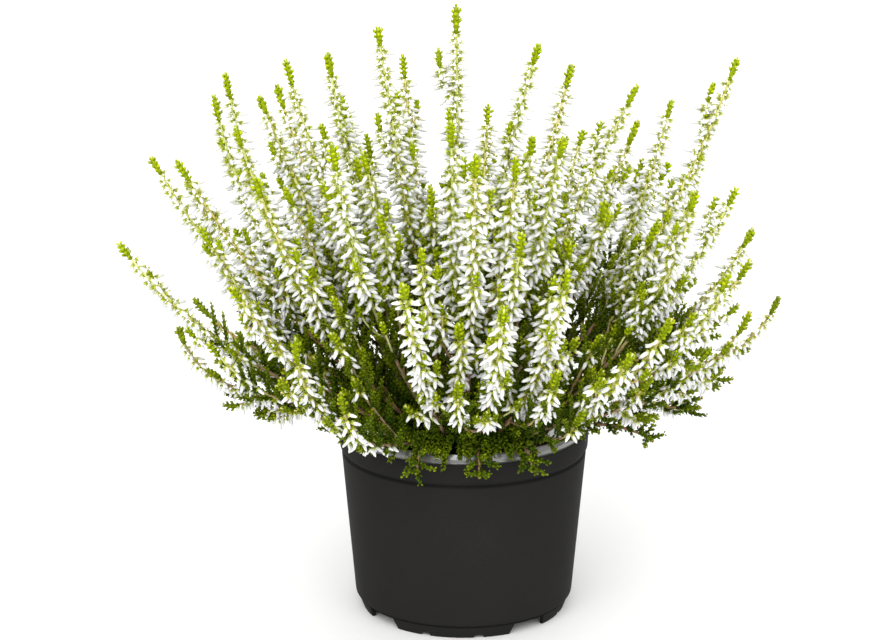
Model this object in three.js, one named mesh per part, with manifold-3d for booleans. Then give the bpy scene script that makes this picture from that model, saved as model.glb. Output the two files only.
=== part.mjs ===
// Potted bud heather: a nursery pot filled with peat, from which fifty flowering stems and six leafy
// shoots fan out into a dome. Millimetres, +Z up, origin on the ground under the pot's axis.

import * as THREE from 'three';
import { mergeVertices } from 'three/addons/utils/BufferGeometryUtils.js';
import Module from 'manifold-3d';

const solids = await Module();
solids.setup();

// ---------------------------------------------------------------- driving dimensions

const gap = 0.3;                 // air between pieces that touch on the real plant
const roundSides = 32;           // flats round the pot and the peat

// Pot: outline from the middle of the underside, round the foot, up the wall, over the lip and back.
const floorUnder = 5.4;
const floorTop = 6.9;
const potInside = 57.2;          // radius inside the rim
const rimRadius = 60;
const potHeight = 95;
const potOutline = [
  [0, floorUnder], [48.6, floorUnder], [46.6, 0], [48.8, 0], [51.0, 5.8],
  [51.9, 6.4], [52.5, 7.6], [58.7, 78.2], [58.1, 79.0], [58.5, 80.2], [59.5, 81.0],
  [rimRadius, 90.2], [59.0, 90.7], [58.8, 92.3], [57.9, 94.7], [57.5, potHeight],
  [potInside, 94.4], [potInside, 78], [51.3, 8.2], [50.6, floorTop], [0, floorTop],
];
const footCount = 4;
const firstFootMiddle = -96.5;   // degrees, just left of the front
const footGap = { wide: 21, narrow: 18, top: 5.7 };
const footNotch = { width: 5, height: 2, fromMiddle: 15 };
const drain = { count: 6, radius: 4, circle: 36 };

// Peat: fills the pot to a low mound, and is pierced by a plain hole for each stem.
const peatEdge = 83.6;
const peatShoulder = { radius: 41, height: 86 };
const peatMiddle = 87.4;
const stemDepth = 14;            // how deep a stem stands in the peat
const stemFoot = 2.6;            // height over the peat at which it starts to lean

// Flowering stems: tip [x, y, z] and the lean of its last stretch, in degrees from upright.
const crown = 34;                // the stems leave the peat inside this radius
const steepest = 64;             // greatest lean of a stem's first stretch
const handle = 0.36;             // share of the chord at which a stem's curve is pulled
const stemTips = [
  // left side, from the front to the back
  [-54, -120, 145, 10], [-74, -110, 167, -2], [-104, -85, 183, 35], [-93, -80, 232, 20],
  [-156, -62, 197, 34], [-103, -55, 249, 18], [-133, -30, 148, 12], [-145, -20, 227, 28],
  [-116, -10, 254, 10], [-97, 20, 247, 22], [-116, 60, 250, 10], [-135, 70, 133, 45],
  [-93, 90, 237, 25], [-105, 115, 170, 40],
  // middle, from the front to the back
  [-26, -140, 200, 30], [17, -148, 191, 30], [5, -125, 253, 22], [25, -110, 215, 22],
  [-58, -95, 251, 15], [-6, -90, 260, 18], [44, -70, 248, 18], [-82, -20, 273, 14],
  [34, -20, 280, 18], [-40, -10, 286, 8], [-4, 24, 290, 4], [-65, 30, 266, 10],
  [-30, 60, 259, 12], [52, 60, 254, 22], [-62, 110, 228, 30], [12, 110, 223, 30],
  [-50, 145, 165, 40], [10, 148, 180, 35], [-30, 146, 118, 65], [70, 140, 160, 42],
  // right side, from the front to the back
  [73, -130, 166, 35], [45, -130, 204, 25], [91, -110, 176, 30], [118, -80, 188, 20],
  [104, -60, 221, 12], [133, -30, 156, 20], [80, -10, 259, 26], [127, -10, 210, 24],
  [113, -10, 102, 84], [128, 15, 267, 18], [139, 30, 180, 26], [100, 50, 239, 14],
  [156, 62, 137, 22], [119, 90, 205, 14], [60, 110, 210, 35], [95, 120, 118, 65],
  // two more that fill the sides
  [-132, -34, 229, 30], [135, -2, 173, 24],
];
const wood = { foot: 1.25, fork: 1.05, root: 0.42 };   // radii of a stem, and of a side shoot's root
const leafyPart = { from: 0.07, to: 0.2, rings: 4 };  // share of a stem's length, and its rings
const spray = { core: 1.5, end: 0.9, from: 0.41, whorls: 11 };
const sideShoot = { from: 0.25, spread: 0.05, share: 0.44, opening: 36, tries: 12, room: 2.5, rise: 0.75 };
const secondShoot = { chance: 0.45, higher: 0.075 };
const forkDrop = 2.5;            // the ring under a fork lies this far below it
const openRoom = 6;              // room at which a stem stays straight
const budRoom = 0.9;             // air round a bud or twig
const cleanEdge = 0.05;          // shortest edge wanted where two shoots join
const rootTurns = [0, 5, -5, 10, -10, 15, -15, 20, -20, 25, -25, 30, -30];   // degrees

// Buds and leafy twigs are three-sided: a bud hangs from the ring above it, a twig stands on the
// ring below it. The length runs from the shoot's core, and the radius is the room that one needs.
const bud = { hangs: true, length: 7, radius: 0.9, droop: 0.5, forward: 0 };
const twig = { hangs: false, length: 15, radius: 1.1, droop: -0.2, forward: 0.8 };
const leafyTip = { length: 13, rings: [[0.3, 1.9], [0.65, 1.4]] };

// Leafy shoots that lean over the rim: bearing in degrees, reach of the tip and its height.
const leafyShoots = [
  [-108, 70, 88], [-84, 69, 87], [-64, 72, 88.5], [-178, 97, 97], [-22, 96, 94], [84, 92, 90],
];
const leafyStart = 47;
const leafyArch = { over: 57, height: 102.5 };

// ---------------------------------------------------------------- solids and meshes

function solidOf(geometry) {
  geometry.deleteAttribute('normal');
  geometry.deleteAttribute('uv');
  const merged = mergeVertices(geometry, 1e-4);
  return new solids.Manifold(new solids.Mesh({
    numProp: 3,
    vertProperties: new Float32Array(merged.attributes.position.array),
    triVerts: new Uint32Array(merged.index.array),
  }));
}

function geometryOf(solid) {
  const mesh = solid.getMesh();
  const geometry = new THREE.BufferGeometry();
  geometry.setAttribute('position', new THREE.BufferAttribute(new Float32Array(mesh.vertProperties), 3));
  geometry.setIndex(new THREE.BufferAttribute(new Uint32Array(mesh.triVerts), 1));
  return geometry;
}

function turned(outline) {
  const profile = outline.map(([radius, height]) => new THREE.Vector2(radius, height));
  return solidOf(new THREE.LatheGeometry(profile, roundSides).rotateX(Math.PI / 2));
}

function radians(degrees) {
  return degrees * Math.PI / 180;
}

// The same number between 0 and 1 for the same whole number.
function chance(number) {
  const wave = Math.sin(number * 12.9898) * 43758.5453;
  return wave - Math.floor(wave);
}

// ---------------------------------------------------------------- pot and peat

// A block that runs outwards under the wall, with its outline in the plane that faces the axis.
function footCutter(corners, bearing) {
  const shape = new THREE.Shape(corners.map(([across, height]) => new THREE.Vector2(across, height)));
  const block = new THREE.ExtrudeGeometry(shape, { depth: 16, bevelEnabled: false });
  block.rotateX(Math.PI / 2).translate(0, -40, 0).rotateZ(radians(bearing + 90));
  return solidOf(block);
}

function footGapCutter(bearing) {
  const wide = footGap.wide / 2;
  const narrow = footGap.narrow / 2;
  return footCutter([[-wide, -1], [wide, -1], [narrow, footGap.top], [-narrow, footGap.top]], bearing);
}

function footNotchCutter(bearing) {
  const arch = [];
  for (let step = 0; step <= 4; step += 1) {
    const angle = Math.PI * step / 4;
    arch.push([Math.cos(angle) * footNotch.width / 2, Math.sin(angle) * footNotch.height]);
  }
  return footCutter([...arch, [-footNotch.width / 2, -1], [footNotch.width / 2, -1]], bearing);
}

function drainCutter(bearing) {
  const bore = new THREE.CylinderGeometry(drain.radius, drain.radius, 4, 8).rotateX(Math.PI / 2);
  bore.translate(drain.circle, 0, (floorUnder + floorTop) / 2).rotateZ(radians(bearing));
  return solidOf(bore);
}

function makePot() {
  let body = turned(potOutline);
  for (let foot = 0; foot < footCount; foot += 1) {
    const middle = firstFootMiddle + foot * 360 / footCount;
    body = body.subtract(footGapCutter(middle + 180 / footCount));
    body = body.subtract(footNotchCutter(middle - footNotch.fromMiddle));
    body = body.subtract(footNotchCutter(middle + footNotch.fromMiddle));
  }
  for (let hole = 0; hole < drain.count; hole += 1) {
    body = body.subtract(drainCutter(hole * 360 / drain.count));
  }
  return body;
}

function peatTop(radius) {
  if (radius < peatShoulder.radius) {
    return THREE.MathUtils.mapLinear(radius, 0, peatShoulder.radius, peatMiddle, peatShoulder.height);
  }
  return THREE.MathUtils.mapLinear(
    radius, peatShoulder.radius, potInside, peatShoulder.height, peatEdge);
}

function makePeat(holes) {
  let body = turned([
    [0, floorTop + gap], [50.2, floorTop + gap], [50.95, 8.4], [potInside - gap, 78],
    [potInside - gap, peatEdge], [peatShoulder.radius, peatShoulder.height], [0, peatMiddle],
  ]);
  for (const hole of holes) {
    body = body.subtract(hole);
  }
  return body;
}

// ---------------------------------------------------------------- where the shoots run

// Balls along everything that has been laid out, each with its stem and its branch of that stem.
const taken = [];

function take(point, radius, { stem, branch }) {
  taken.push({ point, radius, stem, branch });
}

// Free distance round a point, to all other stems and, where a branch is given, to other branches.
function roomAt(point, stem, branch = null) {
  let room = Infinity;
  for (const ball of taken) {
    if (ball.stem !== stem || (branch !== null && ball.branch !== branch)) {
      room = Math.min(room, point.distanceTo(ball.point) - ball.radius);
    }
  }
  return room;
}

// Free height of a point over the peat and the pot's rim; outside the pot only the wall counts.
function roomOverPot(point) {
  const radius = Math.hypot(point.x, point.y);
  if (radius > rimRadius + 2) {
    return Math.max(radius - rimRadius, point.z - potHeight);
  }
  return point.z - (radius < potInside - 2 ? peatTop(radius) + 1 : potHeight);
}

const stepAlong = 2.5;

function pointsAlong(curve, from = 0) {
  const count = Math.round(curve.getLength() / stepAlong);
  const points = [];
  for (let step = 0; step <= count; step += 1) {
    if (step / count >= from) {
      points.push(curve.getPointAt(step / count));
    }
  }
  return points;
}

function roomAlong(curve, stem, from) {
  return Math.min(...pointsAlong(curve, from).map((point) => roomAt(point, stem)));
}

function takeAlong(shoot) {
  for (const point of pointsAlong(shoot.curve)) {
    take(point, spray.core, shoot);
  }
}

// A direction that leans from upright towards a bearing.
function leaning(bearing, lean) {
  return new THREE.Vector3(
    Math.sin(lean) * Math.cos(bearing), Math.sin(lean) * Math.sin(bearing), Math.cos(lean));
}

// A stem leaves the peat on the side to which it leans, so that no two cross.
function leaderCurve(tip, endLean, bow) {
  const bearing = Math.atan2(tip.y, tip.x);
  const start = crown * Math.sin(Math.atan2(Math.hypot(tip.x, tip.y), tip.z - peatEdge));
  const foot = new THREE.Vector3(
    start * Math.cos(bearing), start * Math.sin(bearing), peatTop(start) + stemFoot);
  const chord = tip.clone().sub(foot);
  const chordLean = Math.acos(chord.z / chord.length());
  const startLean = Math.min(radians(steepest), 2 * chordLean - endLean);
  const sideways = new THREE.Vector3(-Math.sin(bearing), Math.cos(bearing), 0);
  const pull = handle * chord.length();
  const first = foot.clone().addScaledVector(leaning(bearing, startLean), pull);
  const second = tip.clone().addScaledVector(leaning(bearing, endLean), -pull);
  first.addScaledVector(sideways, bow * 0.6);
  second.addScaledVector(sideways, bow);
  return { curve: new THREE.CubicBezierCurve3(foot, first, second, tip), sideways, bearing };
}

// The straightest course that keeps clear of the stems laid out before.
function layLeader([x, y, z, endLean], stem) {
  let best = null;
  for (const bow of [0, 7, -7, 14, -14, 21, -21]) {
    const course = leaderCurve(new THREE.Vector3(x, y, z), radians(endLean), bow);
    const room = roomAlong(course.curve, stem, 0.2) - Math.abs(bow) * 0.1;
    if (!best || room > best.room) {
      best = { ...course, room, stem, branch: 0 };
    }
    if (room > openRoom) {
      break;
    }
  }
  takeAlong(best);
  return best;
}

// A side shoot opens away from its stem, then runs along with it and turns up a little.
function sideCurve(leader, from, length, turn) {
  const root = leader.curve.getPointAt(from);
  const along = leader.curve.getTangentAt(from);
  const across = new THREE.Vector3().crossVectors(leader.sideways, along).normalize();
  across.applyAxisAngle(along, turn);
  const opening = along.clone().applyAxisAngle(
    new THREE.Vector3().crossVectors(along, across).normalize(), radians(sideShoot.opening));
  const bend = root.clone().addScaledVector(opening, length * 0.45);
  const onwards = along.clone();
  onwards.z += sideShoot.rise;
  const end = bend.clone().addScaledVector(onwards.normalize(), length * 0.6);
  const sideways = new THREE.Vector3().crossVectors(along, across).normalize();
  return { curve: new THREE.QuadraticBezierCurve3(root, bend, end), sideways };
}

// Of several turns round the stem, the one with the most room, on the far side from an earlier shoot.
function laySideShoot(leader, from, branch, away = null) {
  const { stem } = leader;
  const draw = stem + 100 * branch;
  const length = leader.curve.getLength() * sideShoot.share * (0.8 + 0.4 * chance(draw));
  let best = null;
  for (let attempt = 0; attempt < sideShoot.tries; attempt += 1) {
    const turn = 2 * Math.PI * (attempt / sideShoot.tries + chance(draw + 0.5));
    if (away !== null && Math.cos(turn - away) > -0.3) {
      continue;
    }
    const course = sideCurve(leader, from, length, turn);
    const overPot = Math.min(...pointsAlong(course.curve).map(roomOverPot));
    const room = Math.min(roomAlong(course.curve, stem, 0.2), overPot - 3);
    if (!best || room > best.room) {
      best = { ...course, room, stem, branch, turn, from };
    }
  }
  return best;
}

// A side shoot on each stem, and a second, higher one on some, where there is room.
function layForks(leader) {
  const from = sideShoot.from + sideShoot.spread * chance(leader.stem);
  const shoots = [laySideShoot(leader, from, 1)];
  if (chance(leader.stem + 300) < secondShoot.chance) {
    shoots.push(laySideShoot(leader, from + secondShoot.higher, 2, shoots[0].turn));
  }
  const open = shoots.filter((shoot) => shoot.room > sideShoot.room);
  open.forEach(takeAlong);
  return open;
}

function leafyCurve([bearingDegrees, reach, height]) {
  const bearing = radians(bearingDegrees);
  const at = (radius, z) => new THREE.Vector3(radius * Math.cos(bearing), radius * Math.sin(bearing), z);
  const foot = at(leafyStart, peatTop(leafyStart) + stemFoot);
  const over = at(leafyArch.over, leafyArch.height);
  const beyond = at((reach + rimRadius) / 2 + 4, leafyArch.height - 1);
  const sideways = new THREE.Vector3(-Math.sin(bearing), Math.cos(bearing), 0);
  return {
    curve: new THREE.CubicBezierCurve3(foot, over, beyond, at(reach, height)), sideways, bearing,
  };
}

// ---------------------------------------------------------------- rings and what they carry

const flat = 2 * Math.PI / 3;    // angle between two corners of a shoot

// Adds a ring: its distance from the shoot's root, its radius and turn, and what grows above it. A
// ring looks the same at every third of a turn, and takes the turn that lies from half a flat
// behind the ring below up to half a flat ahead of it.
function addRing(rings, at, radius, turn, growth = null) {
  const behind = (rings.length ? rings[rings.length - 1].turn : turn) - flat / 2;
  const thirds = Math.ceil((behind - turn) / flat - 1e-6);
  rings.push({ at, radius, turn: turn + flat * thirds, growth });
}

// Each of these rings is turned half a flat from the last, so what it bears stands between the rest.
function addBearingRings(rings, from, to, count, radiusAt, growth) {
  const first = rings[rings.length - 1].turn;
  for (let ring = 0; ring <= count; ring += 1) {
    const share = ring / count;
    const at = THREE.MathUtils.lerp(from, to, share);
    addRing(rings, at, radiusAt(share), first - ring * flat / 2, ring < count ? growth : null);
  }
}

function addSpray(rings, from, length) {
  const to = length - leafyTip.length;
  const count = Math.max(2, Math.round((to - from) / spray.whorls));
  addBearingRings(rings, from, to, count,
    (share) => THREE.MathUtils.lerp(spray.core, spray.end, share ** 2), bud);
  for (const [share, radius] of leafyTip.rings) {
    addRing(rings, to + share * leafyTip.length, radius, rings[rings.length - 1].turn);
  }
}

// A flat of the stem is turned to each side shoot, with a ring just below that keeps them together.
function leaderRings(length, { forks }) {
  const rings = [];
  addRing(rings, 0, wood.foot, 0);
  addBearingRings(rings, leafyPart.from * length, leafyPart.to * length, leafyPart.rings,
    () => wood.foot, twig);
  for (const fork of forks) {
    addRing(rings, fork.from * length - forkDrop, wood.fork, fork.turn - flat / 2);
  }
  addSpray(rings, spray.from * length, length);
  return rings;
}

function sideRings(length) {
  const rings = [];
  addRing(rings, 0, wood.root, 0);
  addSpray(rings, 0.25 * length, length);
  return rings;
}

function leafyRings(length) {
  const rings = [];
  addRing(rings, 0, wood.foot, 0);
  addBearingRings(rings, 0.2 * length, length - 10, 6, () => wood.fork, twig);
  addRing(rings, length - 6, 1.6, rings[rings.length - 1].turn);
  return rings;
}

// Three directions at a distance along a shoot: along it, and two across it.
function frameAt(shoot, distance) {
  const share = THREE.MathUtils.clamp(distance / shoot.length, 0, 1);
  const along = shoot.curve.getTangentAt(share);
  const across = new THREE.Vector3().crossVectors(shoot.sideways, along).normalize();
  const aside = new THREE.Vector3().crossVectors(along, across);
  return { centre: shoot.curve.getPointAt(share), along, across, aside };
}

function radialAt(frame, angle) {
  return frame.across.clone().multiplyScalar(Math.cos(angle))
    .addScaledVector(frame.aside, Math.sin(angle));
}

// The tip of a bud or twig, or nothing where it would come too near to another shoot.
function plannedTip(shoot, below, above, face) {
  const { growth } = below;
  const frame = frameAt(shoot, growth.hangs ? above.at - 1 : below.at + 1);
  const radial = radialAt(frame, below.turn + (growth.hangs ? face : face + 0.5) * flat);
  const root = frame.centre.clone().addScaledVector(radial, below.radius / 2);
  const direction = radial.clone().addScaledVector(frame.along, growth.forward);
  direction.z -= growth.droop;
  direction.normalize();
  const balls = [0.4, 0.7, 1].map(
    (share) => root.clone().addScaledVector(direction, share * growth.length));
  const needed = growth.radius + budRoom;
  const { stem, branch } = shoot;
  if (balls.some((ball) => Math.min(roomAt(ball, stem, branch), roomOverPot(ball)) < needed)) {
    return null;
  }
  balls.forEach((ball) => take(ball, growth.radius, shoot));
  return balls[2];
}

function planGrowths(shoot) {
  shoot.rings.forEach((ring, index) => {
    if (ring.growth) {
      const above = shoot.rings[index + 1];
      ring.tips = [0, 1, 2].map((face) => plannedTip(shoot, ring, above, face));
    }
  });
}

// ---------------------------------------------------------------- the skin of a shoot

function layRing(skin, frame, radius, turn) {
  return [0, 1, 2].map((corner) => {
    const radial = radialAt(frame, turn + corner * flat);
    skin.points.push(frame.centre.clone().addScaledVector(radial, radius));
    return skin.points.length - 1;
  });
}

function closeWithPoint(skin, ring, point) {
  skin.points.push(point);
  const apex = skin.points.length - 1;
  for (let corner = 0; corner < 3; corner += 1) {
    skin.faces.push([ring[corner], ring[(corner + 1) % 3], apex]);
  }
}

// Joins two rings, and draws out to a point each face that bears a bud or a twig.
function joinRings(skin, lower, upper, { growth = null, tips = [] } = {}) {
  for (let corner = 0; corner < 3; corner += 1) {
    const next = (corner + 1) % 3;
    const hanging = [lower[corner], upper[next], upper[corner]];
    const standing = [lower[corner], lower[next], upper[next]];
    const [bearing, plain] = growth?.hangs ? [hanging, standing] : [standing, hanging];
    skin.faces.push(plain);
    if (tips[corner]) {
      closeWithPoint(skin, bearing, tips[corner]);
    } else {
      skin.faces.push(bearing);
    }
  }
}

function solidOfSkin(skin) {
  return new solids.Manifold(new solids.Mesh({
    numProp: 3,
    vertProperties: new Float32Array(skin.points.flatMap((point) => [point.x, point.y, point.z])),
    triVerts: new Uint32Array(skin.faces.flat()),
  }));
}

// The upright stretch of a stem in the peat, or the hole that it stands in.
function buriedFrame(shoot, height) {
  const foot = shoot.curve.getPointAt(0);
  return {
    centre: new THREE.Vector3(foot.x, foot.y, height),
    across: new THREE.Vector3(Math.cos(shoot.bearing), Math.sin(shoot.bearing), 0),
    aside: shoot.sideways,
  };
}

function shootSolid(shoot, rootTurn = 0) {
  const skin = { points: [], faces: [] };
  let lower = null;
  let below = {};
  if (shoot.rooted) {
    const depth = shoot.curve.getPointAt(0).z - stemFoot - stemDepth;
    lower = layRing(skin, buriedFrame(shoot, depth), wood.foot, 0);
    skin.faces.push([...lower].reverse());
  }
  for (const ring of shoot.rings) {
    const upper = layRing(skin, frameAt(shoot, ring.at), ring.radius, ring.turn + (lower ? 0 : rootTurn));
    if (lower) {
      joinRings(skin, lower, upper, below);
    } else {
      skin.faces.push([...upper].reverse());
    }
    lower = upper;
    below = ring;
  }
  closeWithPoint(skin, lower, shoot.curve.getPointAt(1));
  return solidOfSkin(skin);
}

function shortestEdge(solid) {
  const { vertProperties, triVerts } = solid.getMesh();
  const point = (index) => new THREE.Vector3().fromArray(vertProperties, 3 * index);
  let shortest = Infinity;
  for (let corner = 0; corner < triVerts.length; corner += 1) {
    const next = corner % 3 === 2 ? corner - 2 : corner + 1;
    shortest = Math.min(shortest, point(triVerts[corner]).distanceTo(point(triVerts[next])));
  }
  return shortest;
}

// Joins a side shoot to its stem, with its root turned until the seam has no tiny edge.
function branched(body, side) {
  let best = null;
  for (const rootTurn of rootTurns) {
    const joined = body.add(shootSolid(side, radians(rootTurn)));
    const edge = shortestEdge(joined);
    if (!best || edge > best.edge) {
      best = { joined, edge };
    }
    if (edge > cleanEdge) {
      break;
    }
  }
  return best.joined;
}

function holeFor(shoot) {
  const foot = shoot.curve.getPointAt(0).z;
  const skin = { points: [], faces: [] };
  const bottom = layRing(skin, buriedFrame(shoot, foot - stemFoot - stemDepth - gap),
    wood.foot + 2 * gap, 0);
  const top = layRing(skin, buriedFrame(shoot, foot + 1), wood.foot + 2 * gap, 0);
  skin.faces.push([...bottom].reverse(), top);
  joinRings(skin, bottom, top);
  return solidOfSkin(skin);
}

// ---------------------------------------------------------------- the plant

function finishShoot(course, ringsFor, rooted) {
  const length = course.curve.getLength();
  return { ...course, length, rooted, rings: ringsFor(length, course) };
}

const leaders = stemTips.map(layLeader);
const forks = leaders.map((leader) => layForks(leader));
const leafy = leafyShoots.map((entry, index) => {
  const stem = stemTips.length + index;
  const course = { ...leafyCurve(entry), stem, branch: 0 };
  takeAlong(course);
  return finishShoot(course, leafyRings, true);
});
const flowering = leaders.map((leader, index) => [
  finishShoot({ ...leader, forks: forks[index] }, leaderRings, true),
  ...forks[index].map((side) => finishShoot(side, sideRings, false)),
]);
[...flowering.flat(), ...leafy].forEach(planGrowths);

// ---------------------------------------------------------------- materials and the finished group

const materials = {
  pot: new THREE.MeshStandardMaterial({ color: 0x2d2c2b, roughness: 0.5, metalness: 0 }),
  peat: new THREE.MeshStandardMaterial({ color: 0x3d2417, roughness: 0.95, metalness: 0 }),
  flowers: new THREE.MeshStandardMaterial({ color: 0xe4ead0, roughness: 0.6, metalness: 0 }),
  leaves: new THREE.MeshStandardMaterial({ color: 0x4c7420, roughness: 0.6, metalness: 0 }),
};

const group = new THREE.Group();

function addPiece(name, solid, material) {
  const mesh = new THREE.Mesh(geometryOf(solid), material);
  mesh.name = name;
  group.add(mesh);
}

function numbered(word, index) {
  return `${word}_${String(index + 1).padStart(2, '0')}`;
}

addPiece('pot', makePot(), materials.pot);
addPiece('soil', makePeat([...leaders, ...leafy].map(holeFor)), materials.peat);
flowering.forEach(([leader, ...sides], index) => {
  addPiece(numbered('stem', index), sides.reduce(branched, shootSolid(leader)), materials.flowers);
});
leafy.forEach((shoot, index) => {
  addPiece(numbered('leafy_shoot', index), shootSolid(shoot), materials.leaves);
});

export default group;
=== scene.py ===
"""Potted bud heather: the looks of its pot, peat, flowering stems and leafy shoots, laid out as an
add-on and run as a script. Lengths are millimetres in the constants and functions of the object, and
metres in the settings, on the stage and in the scene."""

import math

import bmesh
import bpy
import numpy as np
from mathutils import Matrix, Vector, noise


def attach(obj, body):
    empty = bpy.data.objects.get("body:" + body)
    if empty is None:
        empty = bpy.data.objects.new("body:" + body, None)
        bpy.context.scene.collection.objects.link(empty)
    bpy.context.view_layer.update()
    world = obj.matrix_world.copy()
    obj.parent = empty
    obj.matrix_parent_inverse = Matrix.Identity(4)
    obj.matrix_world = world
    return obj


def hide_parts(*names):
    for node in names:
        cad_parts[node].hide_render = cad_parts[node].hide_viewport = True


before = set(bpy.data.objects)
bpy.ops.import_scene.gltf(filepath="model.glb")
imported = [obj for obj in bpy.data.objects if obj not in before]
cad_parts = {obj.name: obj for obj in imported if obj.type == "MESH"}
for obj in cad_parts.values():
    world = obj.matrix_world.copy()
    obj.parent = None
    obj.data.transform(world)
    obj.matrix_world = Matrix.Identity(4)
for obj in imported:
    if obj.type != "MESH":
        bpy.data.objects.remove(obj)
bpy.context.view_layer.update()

bl_info = {
    "name": "Potted heather",
    "version": (1, 0, 0),
    "blender": (4, 5, 0),
    "location": "3D View > Sidebar > Heather",
    "description": "Makes a bud heather in its nursery pot",
    "category": "Add Mesh",
}

MM = 0.001
BAKE_MAP = "OFBake"              # every bud, leaf and twig has a cell of its own in this map

# ---------------------------------------------------------------- pot and peat sizes

POT_HEIGHT = 95
RIM_RADIUS = 60
POT_INSIDE = 57.2
FLOOR_TOP = 6.9
FLOOR_UNDER = 5.4
AIR = 0.3                        # air between the peat and the pot
# Outline of the pot, each corner with the radius that rounds it.
POT_OUTLINE = [
    (0, FLOOR_UNDER, 0), (48.6, FLOOR_UNDER, 0.3), (46.6, 0, 0.3), (48.8, 0, 0.5), (51.0, 5.6, 0.2),
    (50.7, 6.2, 0.2), (51.9, 6.9, 0.3), (52.5, 8.0, 1.0), (58.7, 78.0, 0.5), (57.9, 78.9, 0.3),
    (58.2, 80.2, 0.4), (59.5, 81.2, 0.8), (RIM_RADIUS, 90.2, 0.4), (59.0, 90.7, 0.2),
    (58.8, 92.3, 0.3), (57.9, 94.7, 0.6), (57.5, POT_HEIGHT, 0.3), (POT_INSIDE, 94.4, 0.3),
    (POT_INSIDE, 78, 2.0), (51.3, 8.2, 1.0), (50.6, FLOOR_TOP, 0.5), (0, FLOOR_TOP, 0),
]
CORNER_CUT = 0.4                 # largest share of a stretch of the outline that an arc takes up
LIP_FROM = 90.4                  # height above which the pot has the smooth finish of its lip and its painted reflection
LIP_SLACK = 0.1                  # the middle of a flat facet may lie this much inside the wall
POT_CREASE = 28                  # degrees at which an edge of the pot stays sharp
SEAM_LEVELS = (79.2, 6.4)        # heights of the two grooves round the pot
GROOVE_SHADE = {"core": 0.3, "edge": 1.0, "strength": 0.6}       # how wide and how strong the painted shade in them is
FOOT_COUNT = 4
FIRST_FOOT_MIDDLE = -96.5        # degrees
# The feet are what the cutters leave of the ring under the pot. They cut between two distances
# from the axis, and reach below the floor.
FOOT_GAP = {"wide": 21, "narrow": 18, "top": 5.7}
FOOT_NOTCH = {"width": 5, "height": 2, "from_middle": 15, "steps": 8}
FOOT_CUT = {"from": 40, "to": 56, "below": -1}
DRAIN = {"count": 6, "radius": 4, "circle": 36, "facets": 32, "depth": 4}

PEAT_EDGE = 83.6
PEAT_SHOULDER = {"radius": 41, "height": 86}
PEAT_MIDDLE = 87.4
PEAT_FOOT = ((50.2, FLOOR_TOP + AIR), (50.95, 8.4), (POT_INSIDE - AIR, 78))
PEAT_RINGS = 34
PEAT_FACETS = 96
PEAT_ROUGH = {"above": 79, "edge": 1, "fade": 6}
# Swell of the peat's top: pace, roughness, gain in pace, octaves and height.
PEAT_LUMPS = (0.16, 1.0, 2.1, 4, 1.3)
PEAT_GRAINS = (0.9, 0.9, 2.3, 3, 0.55)
PEAT_DRAW = 0.45                 # tone of the peat itself, between those of its crumbs
# Crumbs and fibres lie loose on the peat. The size of a crumb is the shape and the scale of a
# gamma distribution, cut off at the smallest and the largest size.
CRUMB = {
    "from_wall": 3, "height": 0.35, "size": (3.0, 0.55), "vary_sides": (0.6, 1.3),
    "sizes": (0.5, 3.4)}
FIBRE = {
    "from_wall": 6, "height": 0.9, "length": (3, 9), "slope": 0.12, "bow": 1.6, "level": 0.1,
    "lift": 0.4, "radii": (0.08, 0.16, 0.18, 0.15, 0.07), "vary_radius": (0.7, 1.4),
    "draw": (0.7, 1.0), "sides": 3}
STEM_DEPTH = 14
STEM_FOOT = 2.6

# ---------------------------------------------------------------- where the stems run

CURVE_STEPS = 201                # points by which the length of a course is measured
CURVE_NUDGE = 1e-4
CROWN = 34
STEEPEST = 64                    # degrees from upright at the foot of a stem
HANDLE = 0.36
BOWS = (0, 7, -7, 14, -14, 21, -21)      # how far a stem may swing sideways, in the order of trial
LOW_BOW = 0.6                    # share of the bow at the lower handle
BOW_COST = 0.1                   # room that a bow has to gain for each millimetre
CLEAR_FROM = 0.2                 # share of a shoot from which it keeps clear of the others
# The tip of each stem, and how many degrees it leans outwards there.
STEM_TIPS = [
    # left side, from the front to the back
    (-54, -120, 145, 10), (-74, -110, 167, -2), (-104, -85, 183, 35), (-93, -80, 232, 20),
    (-156, -62, 197, 34), (-103, -55, 249, 18), (-133, -30, 148, 12), (-145, -20, 227, 28),
    (-116, -10, 254, 10), (-97, 20, 247, 22), (-116, 60, 250, 10), (-135, 70, 133, 45),
    (-93, 90, 237, 25), (-105, 115, 170, 40),
    # middle, from the front to the back
    (-26, -140, 200, 30), (17, -148, 191, 30), (5, -125, 253, 22), (25, -110, 215, 22),
    (-58, -95, 251, 15), (-6, -90, 260, 18), (44, -70, 248, 18), (-82, -20, 273, 14),
    (34, -20, 280, 18), (-40, -10, 286, 8), (-4, 24, 290, 4), (-65, 30, 266, 10),
    (-30, 60, 259, 12), (52, 60, 254, 22), (-62, 110, 228, 30), (12, 110, 223, 30),
    (-50, 145, 165, 40), (10, 148, 180, 35), (-30, 146, 118, 65), (70, 140, 160, 42),
    # right side, from the front to the back
    (73, -130, 166, 35), (45, -130, 204, 25), (91, -110, 176, 30), (118, -80, 188, 20),
    (104, -60, 221, 12), (133, -30, 156, 20), (80, -10, 259, 26), (127, -10, 210, 24),
    (113, -10, 102, 84), (128, 15, 267, 18), (139, 30, 180, 26), (100, 50, 239, 14),
    (156, 62, 137, 22), (119, 90, 205, 14), (60, 110, 210, 35), (95, 120, 118, 65),
    # two more that fill the sides
    (-132, -34, 229, 30), (135, -2, 173, 24),
]
SPRAY_CORE = 1.5
SPRAY_FROM = 0.41                # share of a stem's length at which its main spray begins
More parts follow.
